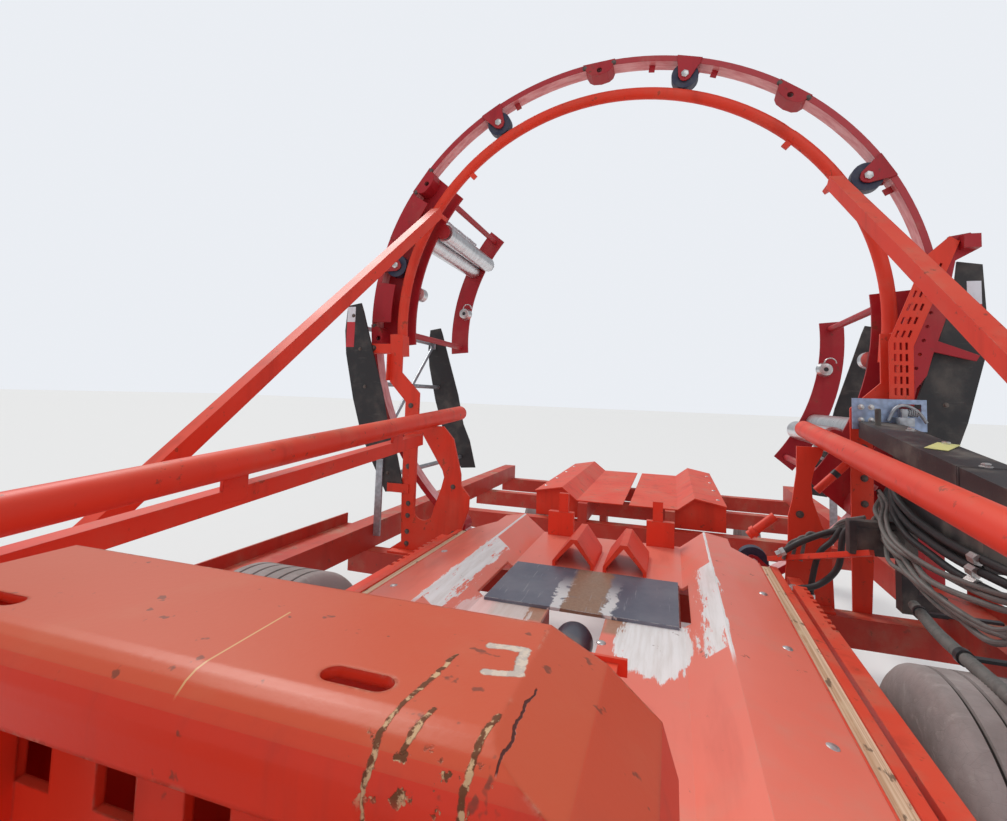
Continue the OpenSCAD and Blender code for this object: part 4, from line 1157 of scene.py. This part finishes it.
def drawbar_lines():
    """Two lines on top of the drawbar, with their holders and couplings."""
    b = Build()
    for x in (2.95, 3.25, 3.5):
        b.box((x - 0.012, -0.051, 0.4895), (x + 0.012, 0.051, 0.4935), bevel=0.001)
    for offsets in ((0.03, 0.022, 0.02, 0.02), (-0.01, -0.006, -0.004, -0.004)):
        stations = ((2.86, 0.512), (2.95, 0.51), (3.25, 0.51), (3.5, 0.512))
        b.bent_tube([(x, y, z) for (x, z), y in zip(stations, offsets)], 0.01, 10, 12)
    coupling = [(0, 0), (0.013, 0), (0.013, 0.03), (0.009, 0.034), (0.009, 0.06), (0, 0.06)]
    for y in (0.02, -0.004):
        b.lathe(coupling, (3.5, y, 0.512), FRONT, 14)
    b.done("drawbar_lines", "black_hose")


# Rear end

LAMP_Z = 0.545


def rear_lamps():
    """Blank rear lamps: black cases, and red lenses set in them."""
    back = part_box("cross_beams")[0].x
    for name, finish, slot, near, far, half_w, half_h, bevel in (
        ("rear_lamp_cases", "black", "black_paint", 0.001, 0.045, 0.075, 0.04, 0.006),
        ("rear_lamp_lenses", "red_tape", "red_paint", 0.044, 0.052, 0.066, 0.032, 0.003),
    ):
        b = Build()
        for y in (1.02, -1.02):
            low = (back - far, y - half_w, LAMP_Z - half_h)
            b.box(low, (back - near, y + half_w, LAMP_Z + half_h), bevel=bevel)
        b.done(name, finish)


def deck_bolts():
    """Carriage bolts along the rear deck's edges."""
    b = Build()
    for y in (0.56, -0.56):
        for x in (-2.3, -2.7, -3.1, -3.5):
            b.dome((x, y, EDGE_Z - 0.003), TOP, 0.013)
    b.done("deck_bolts", "bolt")


wheels()
carriage_bolts()
wood_strips()
cross_plate_welds()
ring_fittings()
tape()
hoses()
thin_hoses()
hose_ends()
conduit()
beam_clamp()
beam_bolts()
beam_joint()
blank_plate()
struts()
gusset_bolts()
guard_braces()
for side_name, ring_turn in (("right", 0.0), ("left", 180.0)):
    stretcher_gears(side_name, ring_turn)
    film_hub(side_name, ring_turn)
    stretcher_chain(side_name, ring_turn)
    stretcher_spring(side_name, ring_turn)
cover_trim()
tank_fittings()
lever_knobs()
jack_handle()
drawbar_lines()
rear_lamps()
deck_bolts()


# Light, floor and camera


def studio_world():
    """Even pale light from all round, dimmer where it is mirrored."""
    world = bpy.data.worlds.new("studio")
    bpy.context.scene.world = world
    world.use_nodes = True
    sky = Nodes(world.node_tree)
    seen = sky.blend(sky.add("ShaderNodeLightPath", "Is Camera Ray"), 0.6, 0.9)
    mirrored = sky.add("ShaderNodeLightPath", "Is Glossy Ray")
    back = sky.tree.nodes["Background"].inputs
    sky.feed(back["Color"], (0.92, 0.95, 1.0))
    sky.feed(back["Strength"], sky.minus(seen, sky.times(mirrored, 0.2)))


def stage():
    """Pale floor, even light and two soft suns."""
    bpy.ops.mesh.primitive_plane_add(size=160, location=(0, 0, 0))
    ground = bpy.context.object
    ground.name = "floor"
    m = Finish("floor_paper", roughness=0.9)
    m.colour = (0.78, 0.78, 0.77)
    ground.data.materials.append(m.finish())
    studio_world()
    for name, towards, spread, power, tint in (
        ("key", (0.42, 0.5, -0.76), 24, 1.62, (1.0, 0.97, 0.93)),
        ("fill", (-0.75, -0.3, -0.6), 50, 0.45, (0.97, 0.98, 1.0)),
    ):
        lamp = bpy.data.lights.new(name, "SUN")
        lamp.energy = power
        lamp.angle = radians(spread)
        lamp.color = tint
        holder = bpy.data.objects.new(name, lamp)
        bpy.context.scene.collection.objects.link(holder)
        holder.rotation_mode = "QUATERNION"
        holder.rotation_quaternion = Vector(towards).to_track_quat("-Z", "Y")
    bpy.context.scene.view_settings.view_transform = "Standard"


IMAGE_W = 1007
IMAGE_H = 821
FOCAL_PX = 554.05
CENTRE_PX = (484.88, 353.98)


def camera():
    """The photograph's view: place, turn, focal length and off-centre axis."""
    data = bpy.data.cameras.new("camera")
    made = bpy.data.objects.new("camera", data)
    bpy.context.scene.collection.objects.link(made)
    right = Vector((-0.31783, 0.9475, 0.03498))
    up = Vector((0.0812, -0.00955, 0.99665))
    back = Vector((0.94466, 0.31961, -0.0739))
    turn = Matrix((right, up, back)).transposed().to_4x4()
    made.matrix_world = Matrix.Translation((1.615, 0.271, 1.397)) @ turn
    data.sensor_width = 36
    data.lens = FOCAL_PX / IMAGE_W * data.sensor_width
    data.shift_x = (IMAGE_W / 2 - CENTRE_PX[0]) / IMAGE_W
    data.shift_y = (CENTRE_PX[1] - IMAGE_H / 2) / IMAGE_W
    data.clip_start = 0.02
    data.clip_end = 300
    bpy.context.scene.camera = made


stage()
camera()
